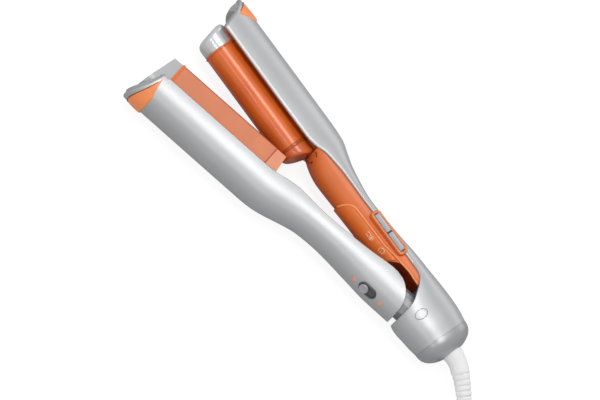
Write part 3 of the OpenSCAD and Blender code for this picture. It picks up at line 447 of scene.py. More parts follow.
satin_silver = finish("satin silver paint", (0.75, 0.755, 0.76), 0.41, metallic=0.6, grain=5200,
                      shade=0.025, rough_shift=0.04, bump=0.003, patch=18)
right_shell = make_wall("fixed_arm_shell", shell_grid(edge), shell_grid(wall - edge), satin_silver,
                        tube_rows=int((~open_row).sum()), bulge=0.45, slot="silver_shell",
                        nodes="right_shell")

# a window for the buttons' frame, and an oval hole through both sides for the hinge's caps
frame_mid, frame_half, frame_low = np.array([63.5, -18.4]), np.array([19.5, 4.2]), 31.8
window = prism(rounded_outline(*(frame_half + 0.15), 3.2) + frame_mid, frame_low - 4, 45)
cut_out(right_shell, make_grid("window", window),
        make_grid("oval hole", prism(oval_outline(3.66, 5.31), -1, 39)))

# ---- End cap ----
# A dark silver cap that closes the housing behind a fine seam. Its flat end has the
# round hole that holds the strain relief's neck.
cap_x, cap_l = -22.15, 13.35
cap_y, cap_half_y, cap_half_z = -8.4, 22.54, 17.48
cap_s = np.concatenate([np.linspace(0, 0.9, 22), np.linspace(0.92, 1, 8)])
c, s = cos_sin(np.linspace(0, 360, 97))


def cap_grid(along, inset):
    """The housing's outline, drawn in along the cap by the root of one less a power."""
    along, inset = along[:, None], np.broadcast_to(inset, along.shape)[:, None]
    f = np.sqrt(1 - (0.92 * along) ** 2.4)
    return xyz(cap_x - cap_l * along, cap_y + (cap_half_y - inset) * f * bent(c, 2 / squareness),
               mid + (cap_half_z - inset) * f * bent(s, 2 / squareness))


neck = [xyz(cap_end + deep, relief_y + r * c, mid + r * s)
        for deep, r in ((-0.02, 7.4), (0.25, 6.9), (0.6, 6.6), (1.9, 6.5))]
lip = cap_grid(np.zeros(2), [0.25, 1.75]) + [0.12, 0, 0]
inner_cap = cap_grid(np.linspace(0, 0.84, 12), wall)
cap_all = np.concatenate([inner_cap[::-1], lip[::-1], cap_grid(cap_s, 0), neck])
dark_silver = finish("dark silver paint", (0.68, 0.685, 0.69), 0.36, metallic=0.55, coat=0.1,
                     coat_roughness=0.3, grain=5200, shade=0.03, bump=0.004, patch=22)
make_grid("end_cap_moulding", cap_all[:, :-1], dark_silver, close_rows=True, slot="dark_silver",
          nodes="end_cap", sharp=50)

# ---- Handle cover of the fixed arm ----
# A vaulted cover in satin orange that clips inside the shell's rims. It has a pocket for
# the hinge knuckle, a window for the buttons, and two vent slots by the barrel's heel.
cover_x = shell_rows(np.linspace(19.5, 50, 62), np.linspace(50, 145.8, 48))
pocket_z, pocket_end = mid + 0.8, 48.6


def cover_point(x, angle, lift=0.0, wide=0.0):
    """A vault between the rims: depth falls with the cosine, and width grows with the sine."""
    x, angle, lift, wide = spread(x, angle, lift, wide)
    w = smooth(rim_rows, np.maximum(x, 25.6), 1)
    b = smooth(right_rows, x, 2) - 1.95 + wide
    front = smooth(right_rows, np.maximum(x, 40), 4) - lift
    c, s = cos_sin(angle)
    return xyz(x, -w + (w - front) * c, mid + b * s)


def pocket_half(x):
    """Half the width of the hinge pocket, which ends in a half oval."""
    return 14.4 * np.sqrt(np.clip(1 - limit((x - 36) / 12.8) ** 2, 0.02, 1))


def pocket_depth(x, z):
    """The scooped floor of the hinge pocket: it falls away behind the round end, and curves
    up to its sides. Also how far a point lies inside it, from 0 at the edge to 1."""
    fall = 15.6 * limit((pocket_end - x) / 14) ** 0.45 - 1
    across = (z - pocket_z) / pocket_half(x)
    depth = 4.6 + 0.92 * fall * np.sqrt(limit(1 - 0.5 * across**4))
    return depth, limit((1 - np.abs(across)) / 0.06)


def recessed(points):
    """The cover's surface, pressed in to just under the pocket's floor inside the pocket."""
    x, y, z = np.moveaxis(points, -1, 0)
    depth, inside = pocket_depth(x, z)
    sunk = np.where(x < pocket_end, inside * np.maximum(depth + 0.4 + y, 0), 0)
    return points - sunk[..., None] * [0, 1.0, 0]


vault = np.linspace(-90, 90, 121)[None, :]
cover_orange = finish("satin orange cover", (0.89, 0.45, 0.22), 0.4, grain=3000, bump=0.008, coat=0.15,
                      coat_roughness=0.3)
outer = recessed(cover_point(cover_x[:, None], vault))
inner = recessed(cover_point(cover_x[:, None], vault, -1.5, -1.5)) - [0, 0.4, 0]
cover = make_wall("handle_cover", outer, inner, cover_orange, bulge=0.2, slot="orange_cover",
                  nodes="right_inner_cover")


def slot_cutter(name, x, angle, long, wide, turn):
    """A stadium-shaped prism that stands square to the cover."""
    middle = cover_point(x, angle)
    ahead = unit(cover_point(x + 1, angle) - middle)
    side = cover_point(x, angle + 1) - middle
    side = unit(side - ahead * (side @ ahead))
    u, v = rounded_outline(long / 2, wide / 2, wide / 2 - 0.01, 8).T
    c, s = cos_sin(turn)
    stadium_grid = prism(np.stack([u * c - v * s, u * s + v * c], 1), -4, 4)
    return make_grid(name, middle + stadium_grid @ np.stack([ahead, side, np.cross(ahead, side)]))


cut_out(cover, make_grid("cover window", window), slot_cutter("upper slot", 142.6, 52, 4.6, 1.6, 20),
        slot_cutter("lower slot", 140.5, 17, 5.0, 1.5, 90))

# the pocket's floor is lined with a darker orange, which is painted shade for the deep hollow
px = np.linspace(19.6, 48.5, 58)[:, None]
pz = pocket_z + np.linspace(-0.97, 0.97, 49)[None, :] * pocket_half(px)
lining = xyz(px, -pocket_depth(px, pz)[0], pz)
pocket_shade_orange = finish("orange pocket with painted shade", (0.66, 0.27, 0.12), 0.38, grain=2600, shade=0.07)
make_wall("knuckle_pocket", lining, lining - [0, 0.3, 0], pocket_shade_orange, bulge=0.1,
          slot="orange_cover")

# ---- Control pad and its two signs ----
# A raised pad, moulded in a brighter orange, with a rolled edge on its upper side, whose paler
# colour is a painted highlight. The power sign and the lock sign are printed on it in pale lines.
pad_end, pad_reach, pad_bow = 102.5, 60.0, 10


def reach(x):
    """Half the pad's sweep round the vault, rounded off like an oval at its front end."""
    return pad_reach * np.sqrt(limit(1 - limit((x - pad_end + pad_bow) / 10.2) ** 2))


def pad_rows(start, count, end, first, bow_count):
    """Even stations along the pad, then stations that crowd towards its round end."""
    bow = pad_bow * (1 - np.sin(np.linspace(first, np.pi / 2, bow_count)))
    return np.concatenate([np.linspace(start, 92, count), end - bow])


pad_x = np.unique(np.round(pad_rows(20, 40, pad_end, 0, 16), 4))[:, None]
pad_edge = np.linspace(-1, 1, 61)[None, :]
pad_lift = 0.1 + 1.2 * limit(1 - np.abs(pad_edge) ** 22)
pad_top = cover_point(pad_x, reach(pad_x) * pad_edge, pad_lift, pad_lift)
pad_low = cover_point(pad_x, reach(pad_x) * pad_edge, 0.02, 0.02)
pad_orange = finish("satin bright orange pad", (0.94, 0.48, 0.22), 0.36, grain=3000, bump=0.008,
                    coat=0.2, coat_roughness=0.25)
pad = make_wall("button_pad", pad_top, pad_low, pad_orange, slot="orange_pad",
                nodes="control_pad")
pocket_outline = rounded_outline(29, 14.6, 8.0, 12) + [19, mid + 1]
pocket_hole = np.stack([np.insert(pocket_outline, 1, y, axis=1) for y in (-17, 14)])
cut_out(pad, make_grid("pad pocket", pocket_hole), make_grid("pad window", window))
ridge_x = pad_rows(20.5, 60, pad_end - 0.3, 0.05, 30)
sink = limit((58 - ridge_x) / 16)
ridge_angle = reach(ridge_x) * 0.985 + 10 * limit((58 - ridge_x) / 26)
ridge_path = cover_point(ridge_x, ridge_angle, 1.1 - 0.8 * sink, 1.1 - 0.8 * sink)
# the rolled edge is coloured paler than the pad, as a painted highlight along it
ridge_highlight_pale = finish("rolled edge with painted highlight", (0.98, 0.6, 0.36), 0.3, grain=2400, shade=0.03)
make_grid("pad_ridge", tube(ridge_path, 0.9 - 0.2 * sink, 16), ridge_highlight_pale, slot="orange_pad", sharp=60)

sign_paint = finish("pale printed lines", (1.0, 0.8, 0.68), 0.5, grain=1500, shade=0.03)
sign_scale, pad_radius = 1.15, 17.0


def on_pad(u, v, x0, angle0):
    """Points u mm along the arm and v mm across it, laid on the pad about one place."""
    return cover_point(x0 + u, angle0 + np.degrees(v / pad_radius), 1.32, 1.32)


def joined(grids):
    """Several closed grids, as the points and the faces of one piece."""
    grids, faces, start = [ended(grid) for grid in grids], [], 0
    for grid in grids:
        faces += (np.array(grid_faces(*grid.shape[:2])) + start).tolist()
        start += grid.shape[0] * grid.shape[1]
    return np.concatenate([grid.reshape(-1, 3) for grid in grids]), faces


def printed(name, x0, angle0, strokes):
    """Each stroke is a fine bead along a plane line, laid on the pad a little enlarged."""
    beads = [tube(on_pad(sign_scale * u, sign_scale * v, x0, angle0), 0.33, 8) for u, v in strokes]
    make(name, *joined(beads), sign_paint, slot="orange_pad")


def arc(radius, first, final, u0=0.0):
    """Part of a circle about a point on the sign's middle line, between two angles."""
    c, s = cos_sin(np.linspace(first, final, 28))
    return u0 + radius * c, radius * s


def line(u0, v0, u1, v1):
    """A straight stroke between two points."""
    return np.linspace(u0, u1, 6), np.linspace(v0, v1, 6)


printed("power_sign", 56.0, 44.0, [arc(1.9, -50, 230), line(0, -2.4, 0, -0.5)])
printed("lock_sign", 70.0, 43.0, [arc(1.5, 0, 360, -1.4), arc(0.5, 0, 360, -1.4), line(0.4, 1.2, 3.0, 1.2),
                                  line(0.4, -1.2, 3.0, -1.2), line(3.0, 1.2, 3.0, 0.3)])

# ---- Button frame and buttons ----
# A rounded orange frame over the shell's rim holds two silver push buttons end to end, with
# a dark strip between them that paints the shade in their gap. Each button presses its own switch on the
# board below.
frame_profile = [(0, frame_low), (0, 36.9), (0.12, 37.4), (0.42, 37.8), (0.85, 37.98), (1.3, 37.9),
                 (1.62, 37.6), (1.7, 37.2), (1.7, 34.4)]
seal_profile = [(1.72, 36.4), (1.72, 37.5), (1.85, 37.62), (2.0, 37.5), (2.0, 36.4)]
button_profile = [(0, 35.5), (0, 37.9), (0.08, 38.25), (0.3, 38.45), (0.9, 38.5), (1.4, 38.42), (2.2, 38.36)]
gap_profile = [(0, 34.2), (0, 37.5), (0.1, 37.6)]


def oblong(half_l, half_w, corner, least=0.0, count=14, centre=(0, 0), narrowing=1.0):
    """The outline of a round-cornered oblong for each inset. Its corner shrinks with the
    inset down to a least radius."""
    return lambda inset: centre + rounded_outline(
        half_l - inset, half_w - narrowing * inset, max(corner - inset, least), count)


frame_outline = oblong(*frame_half, 3.3, 0.4, 12, frame_mid)
bezel_orange = finish("glossy orange plastic", (0.93, 0.5, 0.24), 0.25, coat=0.4, coat_roughness=0.12,
                      grain=2000, shade=0.04)
make_grid("button_bezel", raised(frame_outline, frame_profile), bezel_orange,
          slot="bezel_orange", nodes="button_frame", sharp=55)
# A pale seal rings the buttons inside the frame; its pale colour is partly a painted highlight along that
# edge.
seal_and_highlight_pale = finish("pale seal and painted highlight round the buttons", (0.9, 0.86, 0.84), 0.4, grain=1500, shade=0.03)
make_grid("button_seal_highlight", raised(frame_outline, seal_profile), seal_and_highlight_pale, close_rows=True,
          slot="button_silver", sharp=60)
button_silver = finish("satin silver button", (0.66, 0.665, 0.68), 0.42, metallic=0.3,
                       grain=4200, shade=0.03)
for side, button, body in ((-1, "power_button", "power"), (1, "mode_button", "mode")):
    button_outline = oblong(8.0, 2.05, 0.9, 0.12, 8, frame_mid + [side * 8.45, 0], 0.6)
    make_grid(button + "_cap", raised(button_outline, button_profile), button_silver, body,
              slot="button_silver", nodes=button, sharp=55)
# the strip that fills the gap between the buttons is dark grey, as painted shade
gap_shade_dark = finish("painted shade in the button gap", (0.2, 0.2, 0.21), 0.6)
gap_outline = oblong(0.42, 2.3, 0.2, 0.05, 4, frame_mid)
make_grid("button_gap_shade", raised(gap_outline, gap_profile), gap_shade_dark, slot="bezel_orange")

# ---- Barrel ----
# A tube with a satin orange ceramic coating over an aluminium core and its heater. Dark
# rings and a closed heel cap end it at the back, and a glossy silver nose at the tip.
barrel_drop, barrel_r = 3.2, 12.7
barrel_start, barrel_end = 159.5, 250.0
barrel_cos, barrel_sin = cos_sin(np.linspace(0, 360, 112, endpoint=False)[None, :])


def turned(x, r):
    """Stations and radii, as two columns or grids, carried round the barrel's axis."""
    return xyz(x, -barrel_drop + r * barrel_cos, mid + r * barrel_sin)


def make_ring(name, rows, material, **more):
    """A tube with a wall, from the stations and radii round its section."""
    make_grid(name, turned(*np.array(rows, float).T[..., None]), material, close_rows=True, **more)


coated = finish("orange ceramic coating", (0.88, 0.405, 0.16), 0.34, metallic=0.12, coat=0.8,
                coat_roughness=0.14, grain=2600, rough_shift=0.03, bump=0.002, pale=(0.91, 0.43, 0.175))
straight = [(x, barrel_r) for x in (159.7, 162, 180, 205, 230, 248.4)]
make_ring("barrel_tube", [(barrel_start, 11.5), (barrel_start, 12.5), *straight, (248.6, 12.5),
                          (248.9, 12.5), (249.1, barrel_r), (249.7, barrel_r), (barrel_end, 12.5),
                          (barrel_end, 11.5), (205, 11.5)], coated, slot="coated_metal",
          nodes="barrel")
heat_orange = finish("dark orange heel plastic", (0.74, 0.33, 0.13), 0.3, grain=2400, coat=0.25)
heel_orange = finish("glossy orange heel plastic", (0.83, 0.4, 0.2), 0.22, grain=2400, coat=0.5,
                     coat_roughness=0.08)
band_rows = [(157.1, 10.7), (157.1, 12.75), (157.35, 12.95), (158.0, 12.95), (158.1, 12.6), (158.5, 12.6),
             (158.6, 12.95), (159.2, 12.95), (159.45, 12.75), (159.45, 10.7)]
make_ring("barrel_heel_band", band_rows, heat_orange, slot="heat_plastic",
          nodes="barrel_heel_ring")


def barrel_cap(name, skirt, corner, flat_r, face, way, material, **more):
    """A turned cap: the stations and radii of its skirt, then a round edge into a slanted
    face, whose station depends on the radius and on the cosine of the angle round it."""
    skirt, bow = np.array(skirt, float), np.linspace(0, np.pi / 2, 12)
    r = np.concatenate([skirt[:, 1], barrel_r - corner * (1 - np.cos(bow)), [flat_r, 0]])[:, None]
    back = np.concatenate([np.zeros(len(skirt)), corner * np.sin(bow), [corner, corner]])[:, None]
    x = face(r, barrel_cos) + way * (back - corner)
    x[:len(skirt)] = skirt[:, :1]
    make_grid(name, turned(x, r), material, sharp=50, **more)


# heel cap: its end is cut on the slant and well rounded
heel_lean, nose_bulge = np.tan(radians(17)), 0.35
barrel_cap("barrel_heel", [(160.2, 10.2), (157.0, 10.2), (157.0, 12.45), (156.75, 12.7), (156.6, 12.7)],
           2.6, 6, lambda r, c: 152.5 + (r * c - barrel_r) * heel_lean, -1, heel_orange,
           slot="heat_plastic", nodes="barrel_heel_cap")
# nose: straight sides, then a round edge into an end that follows the tip's slant
nose_silver = finish("glossy silver nose", (0.9, 0.905, 0.91), 0.24, metallic=0.55, coat=0.6,
                     grain=3600, shade=0.02, rough_shift=0.03, bump=0.002, patch=20)
barrel_cap("barrel_nose", [(244.2, 11.2), (250.05, 11.2), (250.05, 12.5), (250.3, 12.7), (251, 12.7)],
           4.2, 4, lambda r, c: (265.6 - (r * c - barrel_drop + 11) * slant
                                 + nose_bulge * (1 - (r / barrel_r) ** 2)), 1, nose_silver,
           slot="nose_plastic", nodes="barrel_nose_cap")
make_ring("barrel_lip", [(248.3, 12.55), (248.3, 12.9), (248.5, 13.25), (248.9, 13.3),
                         (249.15, 13.0), (249.2, 12.55)], heel_orange, slot="coated_metal")

# ---- Tray and tip of the fixed arm ----
# An orange tray carries the barrel in the head. A grey plug closes the head at the tip, and
# a leaf-shaped orange cap, which stays cool to the touch, lies over the tip's back.
clad("barrel_tray", finish("satin orange tray", (0.97, 0.5, 0.22), 0.4, grain=2400, shade=0.04))
seam_brown = finish("dark seam", (0.55, 0.27, 0.15), 0.5)
tip_orange = finish("orange tip plastic", (0.97, 0.56, 0.32), 0.35, grain=2600, shade=0.04, coat=0.15)
grey_plastic = finish("satin grey plastic", (0.67, 0.675, 0.68), 0.36, metallic=0.25, grain=2600, shade=0.03)


def leaf(name, point, body, nodes, start, tip_gap, side, proud):
    """A leaf-shaped cap that lies over the back of a tip. Its front edge runs straight over
    the back and sweeps forward to a point on each side, and its far edge follows the tip."""
    t = np.linspace(-1, 1, 91)[:, None]
    s = np.linspace(0, 1, 19)[None, :]
    angle = 180 + (180 - side) * bent(t, 0.9)
    far = arm_len - tip_gap * (1 - 0.25 * np.abs(t))
    near = start + (far - start) * limit((np.abs(t) - 0.42) / 0.58) ** 1.35
    x = near + (far - near) * s
    full = np.sqrt(limit(np.minimum(s, 1 - s) / 0.09) * limit((1 - np.abs(t)) / 0.03))
    crease = 1 - 0.55 * limit((s - 0.45) / 0.55)
    top = point(x, angle, -0.06 * full, (proud * crease - 0.06) * full)
    make_wall(name, top, point(x, angle, 0.12), tip_orange, body, slot="bezel_orange",
              nodes=nodes, sharp=50)
    seam = point(far + 0.1, angle, 0.0, 0.25 * proud)[6:-6, 0]
    make_grid(name + "_seam", tube(seam, 0.32, 10), seam_brown, body, slot="bezel_orange")


def domed(skin, inner, angles, height):
    """Two surfaces that end at a tip, with a low dome between their ends added to them."""
    share = np.array([0.05, 0.15, 0.3, 0.45, 0.6, 0.75, 0.87, 0.95])[:, None, None]
    dome = skin[-1] + (inner[-1] - skin[-1]) * share
    dome[..., 0] += height * np.sin(np.pi * share[..., 0]) ** 0.8 * np.sin(np.radians(angles - 90)) ** 0.5
    return np.concatenate([skin, dome]), np.concatenate([inner, np.repeat(inner[-1:], len(dome), 0)])


leaf("fixed_arm_tip_cap", right_point, "fixed_arm", "right_cool_tip", 251.5, 2.6, 117, 1.3)
end_x, end_gap = np.array([263.2, 266.0, 266.45, 266.6])[:, None], wall + 0.02
angles = np.linspace(92, 268, 81)[None, :]
skin = right_point(end_x, angles, end_gap + np.array([0, 0, 0.15, 0.5])[:, None])
z_in = np.clip((skin[..., 2] - mid) * 1.2, -15.4, 15.4)
y_in = -np.minimum(-skin[..., 1] - 0.6, 25.6)
inner = xyz(end_x + tip_shift(end_x, -y_in - 11, z_in), y_in, mid + z_in)
make_wall("fixed_arm_end", *domed(skin, inner, angles, 1.2), grey_plastic,
          slot="nose_plastic", nodes="right_tip_plug", sharp=50)

# ---- Hinge ----
# A steel pin in a dark bracket carries the opening arm's knuckle, with a torsion spring
# round it. Two oval silver caps close the pin's ends, nearly flush with the housing.


def crown_of(x, y):
    """Half the housing's thickness over a point of the middle plane."""
    d, (w, b, back, front) = -y, right_station(x)
    u = np.where(d > w, (d - w) / (back - w), (w - d) / (w - front))
    return b * (1 - np.abs(u) ** squareness) ** (1 / squareness)


cap_profile = [(0, -3.5), (0, -0.15), (0.08, 0.04), (0.25, 0.1), (0.6, 0.12), (1.3, 0.12), (2.2, 0.12),
               (3.2, 0.12)]
for way, name, node in ((1, "oval_cap_top", "hinge_cap_top"), (-1, "oval_foot", "hinge_foot")):
    rings = []
    for inset, lift in cap_profile:
        flat = oval_outline(3.5 - inset, 5.15 - inset)
        rings.append(np.column_stack([flat, mid + way * np.minimum(crown_of(*flat.T) + lift, mid)]))
    make_grid(name, np.stack(rings), satin_silver, slot="silver_shell", nodes=node, sharp=60)

# ---- Working parts inside ----
# Pin, spring, screws, heaters, core and board hardly show, so they keep their packed form
# and only get the finish of their material: steel, ceramic, aluminium or plain plastic.
clad("hinge_pin hinge_spring bracket_screws knuckle_screws barrel_sensor heater_clip",
     finish("plain steel", (0.76, 0.76, 0.78), 0.3, metallic=1.0, grain=900, patch=160))
clad("hinge_bracket",
     finish("dark plated steel", (0.34, 0.34, 0.36), 0.4, metallic=0.9, grain=900, patch=160))
clad("barrel_heater trough_heater", finish("heater ceramic", (0.9, 0.88, 0.8), 0.6))
clad("barrel_core", finish("cast aluminium", (0.72, 0.72, 0.74), 0.42, metallic=1.0, grain=700, patch=120))
clad("tact_switches", finish("black switch plastic", (0.15, 0.15, 0.16), 0.5))
clad("circuit_board", finish("green board", (0.1, 0.4, 0.22), 0.45, shade=0.15))
clad("board_lead", finish("white sleeve", (0.9, 0.9, 0.9), 0.5))

# ---- Shell of the opening arm ----
# A silver half shell like the fixed arm's, with an open inner side. It is drawn closed
# and then turned open about the hinge, like everything that is mounted in it.
open_angle = 13.2
# x, rim, which is also the widest line, half width and back, as heights over the hinge axis
left_rows = np.array([
    [15, -13.4, 18, 13.6], [40, -13.2, 18, 13.2], [60, -11.6, 17.1, 11.2], [80, -10.7, 16.3, 9.2],
    [95, -10.3, 16, 8.5], [110, -10.6, 16.2, 9.3], [120, -11.2, 16.8, 11.4], [130, -11.3, 17.6, 14.2],
    [140, -9.8, 18.4, 16.8], [150, -7.6, 18.8, 18.2], [160, -7, 19, 18.5], [267, -7, 19, 18.5]])


def opened(points):
    """The points of a closed opening arm, turned open about the hinge axis."""
    c, s = cos_sin(open_angle)
    return np.asarray(points) @ np.array([[c, s, 0], [-s, c, 0], [0, 0, 1]])


def left_closed(x, angle, inset=0.0, proud=0.0):
    """A point of the closed opening arm: a half oval of a rounded square kind. Angle 90 is
    the upper rim and 180 the back. The rear end is rounded about a point by the lock."""
    x, angle, inset, proud = spread(x, angle, inset, proud)
    (c, s), w = cos_sin(angle), smooth(left_rows, x, 1)
    back = smooth(left_rows, x, 3) - inset + proud
    height = w + (back - w) * np.abs(c) ** (2 / squareness)
    across = (np.minimum(smooth(left_rows, x, 2), house_b) - inset) * bent(s, 2 / squareness)
    round_end = 1 - limit((x - 15) / 25)
    drop = np.clip(8 - height, 0, 21.4)
    rear = round_end * np.where(height < 8, 21.4 - np.sqrt(21.5**2 - drop**2), 0)
    return xyz(x + tip_shift(x, height + 7, across) + rear, height, mid + across)


def left_point(x, angle, inset=0.0, proud=0.0):
    """The same point on the arm as it lies, turned open."""
    return opened(left_closed(x, angle, inset, proud))


left_x = shell_rows(np.linspace(15, 20, 12), np.linspace(20, 160, 74), np.linspace(160, 247, 14),
                    np.linspace(247, arm_len, 24))
# the first rows go round the rear edge, and the last round the edge of the tip
x = np.concatenate([[15, 15, 15], left_x, np.full(4, arm_len)])
edge = np.concatenate([[0.75, 0.4, 0.12], np.zeros(len(left_x)), tip_in])
run_on = np.concatenate([[-0.6, -0.5, -0.3], np.zeros(len(left_x)), tip_on])
sweep = np.linspace(90, 270, 97)[None, :]
rear_lip = 2.6 * limit(1 - (x - 15) / 3)[:, None] * np.sqrt(np.abs(cos_sin(sweep)[0]))
shift = run_on[:, None, None] * [*cos_sin(open_angle), 0]
outer = left_point(x[:, None], sweep, edge[:, None]) + shift
inner = left_point(x[:, None], sweep, (wall - edge)[:, None] + rear_lip) + shift
left_shell = make_wall("opening_arm_shell", outer, inner, satin_silver, "opening_arm", bulge=0.4,
                       slot="silver_shell", nodes="left_shell")

# its inner cover: a thin orange floor between the rims of the handle
floor_rows = np.array([[22, -4.2], [36, -4], [40.5, 0.2], [46, 1], [80, 0.6], [95, -0.6], [130, 0],
                       [147.5, 0.4]])
floor_x = np.concatenate([np.linspace(22, 36, 5), np.linspace(37, 46, 14), np.linspace(50, 147, 32)])


def cover_floor(up):
    """The inner cover at a height over its underside. It is as wide as the inside of the
    shell at that height, less a little clearance."""
    x = floor_x[:, None]
    h = smooth(floor_rows, x, 1) + up
    w, b, back = (smooth(left_rows, x, k) - inset for k, inset in ((1, 0), (2, wall), (3, wall)))
    half = b * (1 - ((h - w) / (back - w)) ** squareness) ** (1 / squareness) - 0.3
    return opened(xyz(x, h, mid + half * np.linspace(-1, 1, 25)))


make_wall("opening_arm_floor", cover_floor(0), cover_floor(1.5), cover_orange, "opening_arm",
          slot="orange_cover", nodes="left_inner_cover", sharp=30)

# ---- Hinge knuckle ----
# A satin grey moulding: an eye round the pin, and a faceted neck that runs into the arm.
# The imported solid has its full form, so it only gets its finish.
clad("hinge_knuckle", finish("satin grey knuckle", (0.72, 0.725, 0.73), 0.28, metallic=0.5, grain=3600,
                             shade=0.04, coat=0.2))

# ---- Trough ----
# A U-shaped channel with a pale orange ceramic coating, which closes round the barrel. A
# bright band and a grey nose end it at the tip, and a band and a slanted cap at the heel.
wall_top = 24.2


def channel(r, top):
    """One face of the channel's section, as heights and widths: straight walls that run up
    from a half circle to just under the top."""
    a = np.linspace(-np.pi / 2, np.pi / 2, 40)
    bow = np.stack([-barrel_drop + r * np.cos(a), r * np.sin(a)], 1)
    leg = np.linspace(0.25 - top, -barrel_drop, 8)[:-1]
    return np.concatenate([np.stack([leg, np.full(7, -r)], 1), bow, np.stack([leg[::-1], np.full(7, r)], 1)])


def make_channel(name, x0, x1, material, slot, nodes, inner_r=13.5, outer_r=15.0, top=wall_top,
                 lean0=0.0, lean1=0.0, steps=3):
    """The section carried along the arm. Either end may lean, so that it is cut on a slant."""
    grids = []
    for r in (outer_r, inner_r):
        h, z = channel(r, top).T[:, None]
        s = np.linspace(0, 1, steps)[:, None]
        x = (x0 + lean0 * (h + wall_top)) * (1 - s) + (x1 + lean1 * (h + 7)) * s
        grids.append(opened(xyz(x, h, mid + z)))
    make_wall(name, *grids, material, "opening_arm", bulge=0.35, slot=slot, nodes=nodes, sharp=35)


trough_coat = finish("pale orange ceramic coating", (0.83, 0.49, 0.34), 0.42, metallic=0.1, grain=1800,
                     bump=0.01, coat=0.1, coat_roughness=0.3)
make_channel("trough_channel", 161.9, 252, trough_coat, "trough_coat", "trough_plate", steps=8)
band_orange = finish("bright orange band", (0.9, 0.42, 0.15), 0.3, grain=2400, shade=0.04, coat=0.3)
make_channel("trough_nose_ring", 252.05, 254.4, band_orange, "bezel_orange", "trough_nose_band",
             13.35, 15.4, 25.0)
make_channel("trough_heel_ring", 160.6, 161.85, heat_orange, "bezel_orange", "trough_heel_band",
             13.35, 15.2, 24.5)
heel_pale = finish("pale heel plastic", (0.89, 0.58, 0.44), 0.4, grain=2000, shade=0.04)
make_channel("trough_heel", 152.2, 160.55, heel_pale, "heat_plastic", "trough_heel_cap", lean0=-0.12)
make_channel("trough_nose", 254.45, 266.4, grey_plastic, "grey_plastic", "trough_nose_cap", lean1=slant)
clad("trough_bezel", grey_plastic)
edge_brown = finish("dark edge of the coating", (0.6, 0.27, 0.13), 0.5)
for side, name in ((1, "trough_edge_upper"), (-1, "trough_edge_lower")):
    edge_path = [[x, -wall_top, mid + side * 14.5] for x in np.linspace(162.2, 251.8, 8)]
    make_grid(name, tube(opened(edge_path), 0.6, 12), edge_brown, "opening_arm", slot="trough_coat")

# the grey end between the trough and the shell, and the orange leaf over the tip
angles = np.linspace(90, 270, 97)[None, :]
c, s = cos_sin(angles)
skin = left_closed(end_x, angles, end_gap + np.array([0, 0, 0.12, 0.4])[:, None])
end_r = 15.15
h = np.where(np.abs(s) > 0.9999, -7.0, -barrel_drop - end_r * c)
inner = xyz(end_x + tip_shift(end_x, h + 7, end_r * s), h, mid + end_r * s)
skin, inner = domed(skin, inner, angles, 2.6)
make_wall("opening_arm_end", opened(skin), opened(inner), grey_plastic, "opening_arm",
          slot="grey_plastic", nodes="left_tip_plug", sharp=50)
leaf("opening_arm_tip_cap", left_point, "opening_arm", "left_cool_tip", 254.5, 3.0, 93, 1.4)

# ---- Lock slider ----
# A silver knob that slides in a dark oblong recess on the arm's shoulder, between two
# small orange dots.
lock_x, lock_angle = 41.5, 154.0
dot_x, dot_angle = (lock_x - 13.4, lock_x + 12.6), lock_angle + 4


def on_lock(local, x=lock_x, angle=lock_angle):
    """Local points, with Z away from the surface, placed on the arm's shoulder."""
    p = left_closed(x, angle)
    d = left_closed(x, angle + 3) - left_closed(x, angle - 3)
    turn = -np.pi / 2 + np.arctan2(d[1], -d[2])
    c, s = np.cos(turn), np.sin(turn)
    return opened(np.asarray(local) @ np.array([[1, 0, 0], [0, c, s], [0, -s, c]]) + p)


def stadium(long, wide):
    """The outline of an oblong with half round ends, for each inset."""
    return oblong(long / 2, wide / 2, wide / 2 - 0.01)


slot_grey = finish("dark grey slot plastic", (0.36, 0.37, 0.39), 0.35, grain=2400, shade=0.06, metallic=0.3)
recess = raised(stadium(15.4, 8.6), [(0, -1.2), (0, 0.35), (0.15, 0.55), (0.4, 0.6), (0.7, 0.5), (0.85, 0.2),
                                     (0.9, -0.6)])
make_grid("lock_recess", on_lock(recess), slot_grey, "opening_arm", slot="slot_plastic",
          nodes="lock_bezel", sharp=55)
hole = raised(stadium(15.9, 9.1), [(0, -6), (0, 6)])
dot_hole = raised(stadium(3.5, 3.5), [(0, -0.4), (0, 3)])
cut_out(left_shell, make_grid("lock hole", on_lock(hole)),
        *[make_grid("dot hole", on_lock(dot_hole, x, dot_angle)) for x in dot_x])
knob = raised(lambda inset: oval_outline(3.7 - inset, 3.7 - inset, 64), [
    (0.3, 0.62), (0, 0.85), (0, 2.0), (0.12, 2.4), (0.45, 2.62), (0.8, 2.65), (1.3, 2.5), (2.2, 2.38)])
make_grid("lock_knob", on_lock(knob + [3.0, 0, 0]), button_silver, "lock", slot="button_silver",
          nodes="lock_slider", sharp=55)
dot_orange = finish("soft orange dot", (0.96, 0.58, 0.45), 0.5, grain=2000, shade=0.04)
dot = raised(stadium(3.4, 3.4), [(0, -0.38), (0, 0.1), (0.1, 0.24), (0.4, 0.3), (1.0, 0.33)])
make("lock_signs", *joined([on_lock(dot, x, dot_angle) for x in dot_x]), dot_orange, "opening_arm",
     slot="bezel_orange", nodes="lock_dots", sharp=55)

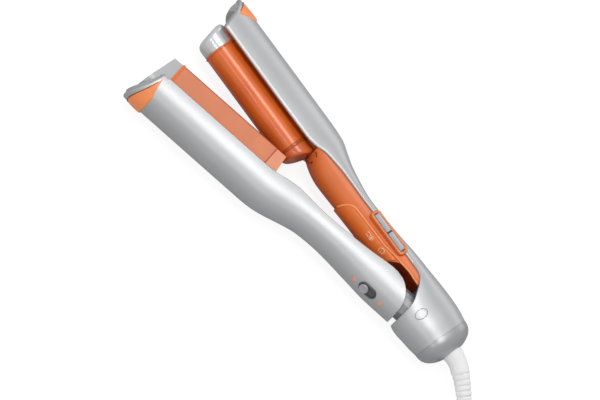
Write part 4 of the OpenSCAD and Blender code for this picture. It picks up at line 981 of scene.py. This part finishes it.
# ---- Floor, lamps and surroundings ----
# A plain white floor under soft studio light: a long lamp overhead, a narrow one over the
# opening arm, a weak one low behind the fixed arm's back, and even light from all round.
ends = (-6000, 6000)
floor = make("floor", [(x, y, 0) for y in ends for x in ends], [[0, 1, 3, 2]])
white = bpy.data.materials.new("white floor")
nodes, links = tree_of(white)
shader = nodes["Principled BSDF"]
dial(shader, Roughness=0.9, Specular_IOR_Level=0.1)
glow = nodes.new("ShaderNodeEmission")
dial(glow, Strength=1.12)
ray = nodes.new("ShaderNodeLightPath")
tone = nodes.new("ShaderNodeMix")
tone.data_type = "RGBA"
# seen in reflections the floor is a darker grey, 0.4 against 0.9: painted shade in the reflections on the
# metal parts
dial(tone, A=(0.9, 0.9, 0.9, 1), B=(0.4, 0.4, 0.4, 1))
links.new(ray.outputs["Is Glossy Ray"], tone.inputs["Factor"])
links.new(tone.outputs["Result"], shader.inputs["Base Color"])
share = nodes.new("ShaderNodeMath")
share.operation = "MULTIPLY"
share.inputs[1].default_value = 0.78
links.new(ray.outputs["Is Camera Ray"], share.inputs[0])
blend = nodes.new("ShaderNodeMixShader")
for i, source in enumerate((share, shader, glow)):
    links.new(source.outputs[0], blend.inputs[i])
links.new(blend.outputs[0], nodes["Material Output"].inputs["Surface"])
floor.data.materials.append(white)

world = bpy.data.worlds.new("studio")
scene.world = world
nodes, links = tree_of(world)
sky = nodes["Background"]
dial(sky, Color=(1, 1, 1, 1))
ray = nodes.new("ShaderNodeLightPath")
seen = nodes.new("ShaderNodeMath")
seen.operation = "MAXIMUM"
links.new(ray.outputs["Is Camera Ray"], seen.inputs[0])
links.new(ray.outputs["Is Transmission Ray"], seen.inputs[1])
level = nodes.new("ShaderNodeMapRange")
dial(level, To_Min=0.54, To_Max=1.0)
links.new(seen.outputs[0], level.inputs["Value"])
links.new(level.outputs["Result"], sky.inputs["Strength"])


def lamp(name, place, aim, size, watts):
    """A broad lamp at a place in metres. Its back points away from what it is aimed at, and
    its long side is level along the arms."""
    light = bpy.data.lights.new(name, "AREA")
    light.shape, light.size, light.size_y, light.energy = "RECTANGLE", *size, watts
    z = unit(np.subtract(place, aim))
    y = unit(np.cross(z, [1.0, 0, 0]))
    turn = Matrix(np.stack([np.cross(y, z), y, z], 1).tolist())
    held = bpy.data.objects.new(name, light)
    held.matrix_world = Matrix.Translation(place) @ turn.to_4x4()
    scene.collection.objects.link(held)


lamp("main lamp", (0.27, -0.12, 1.6), (0.12, 0.0, 0.02), (1.7, 0.44), 11.5)
lamp("strip lamp", (0.2, 0.84, 1.38), (0.12, 0, 0.02), (1.7, 0.06), 2.2)
lamp("back lamp", (0.2, -1.55, 0.62), (0.12, 0, 0), (1.8, 0.8), 4)

scene.view_settings.view_transform = "Standard"
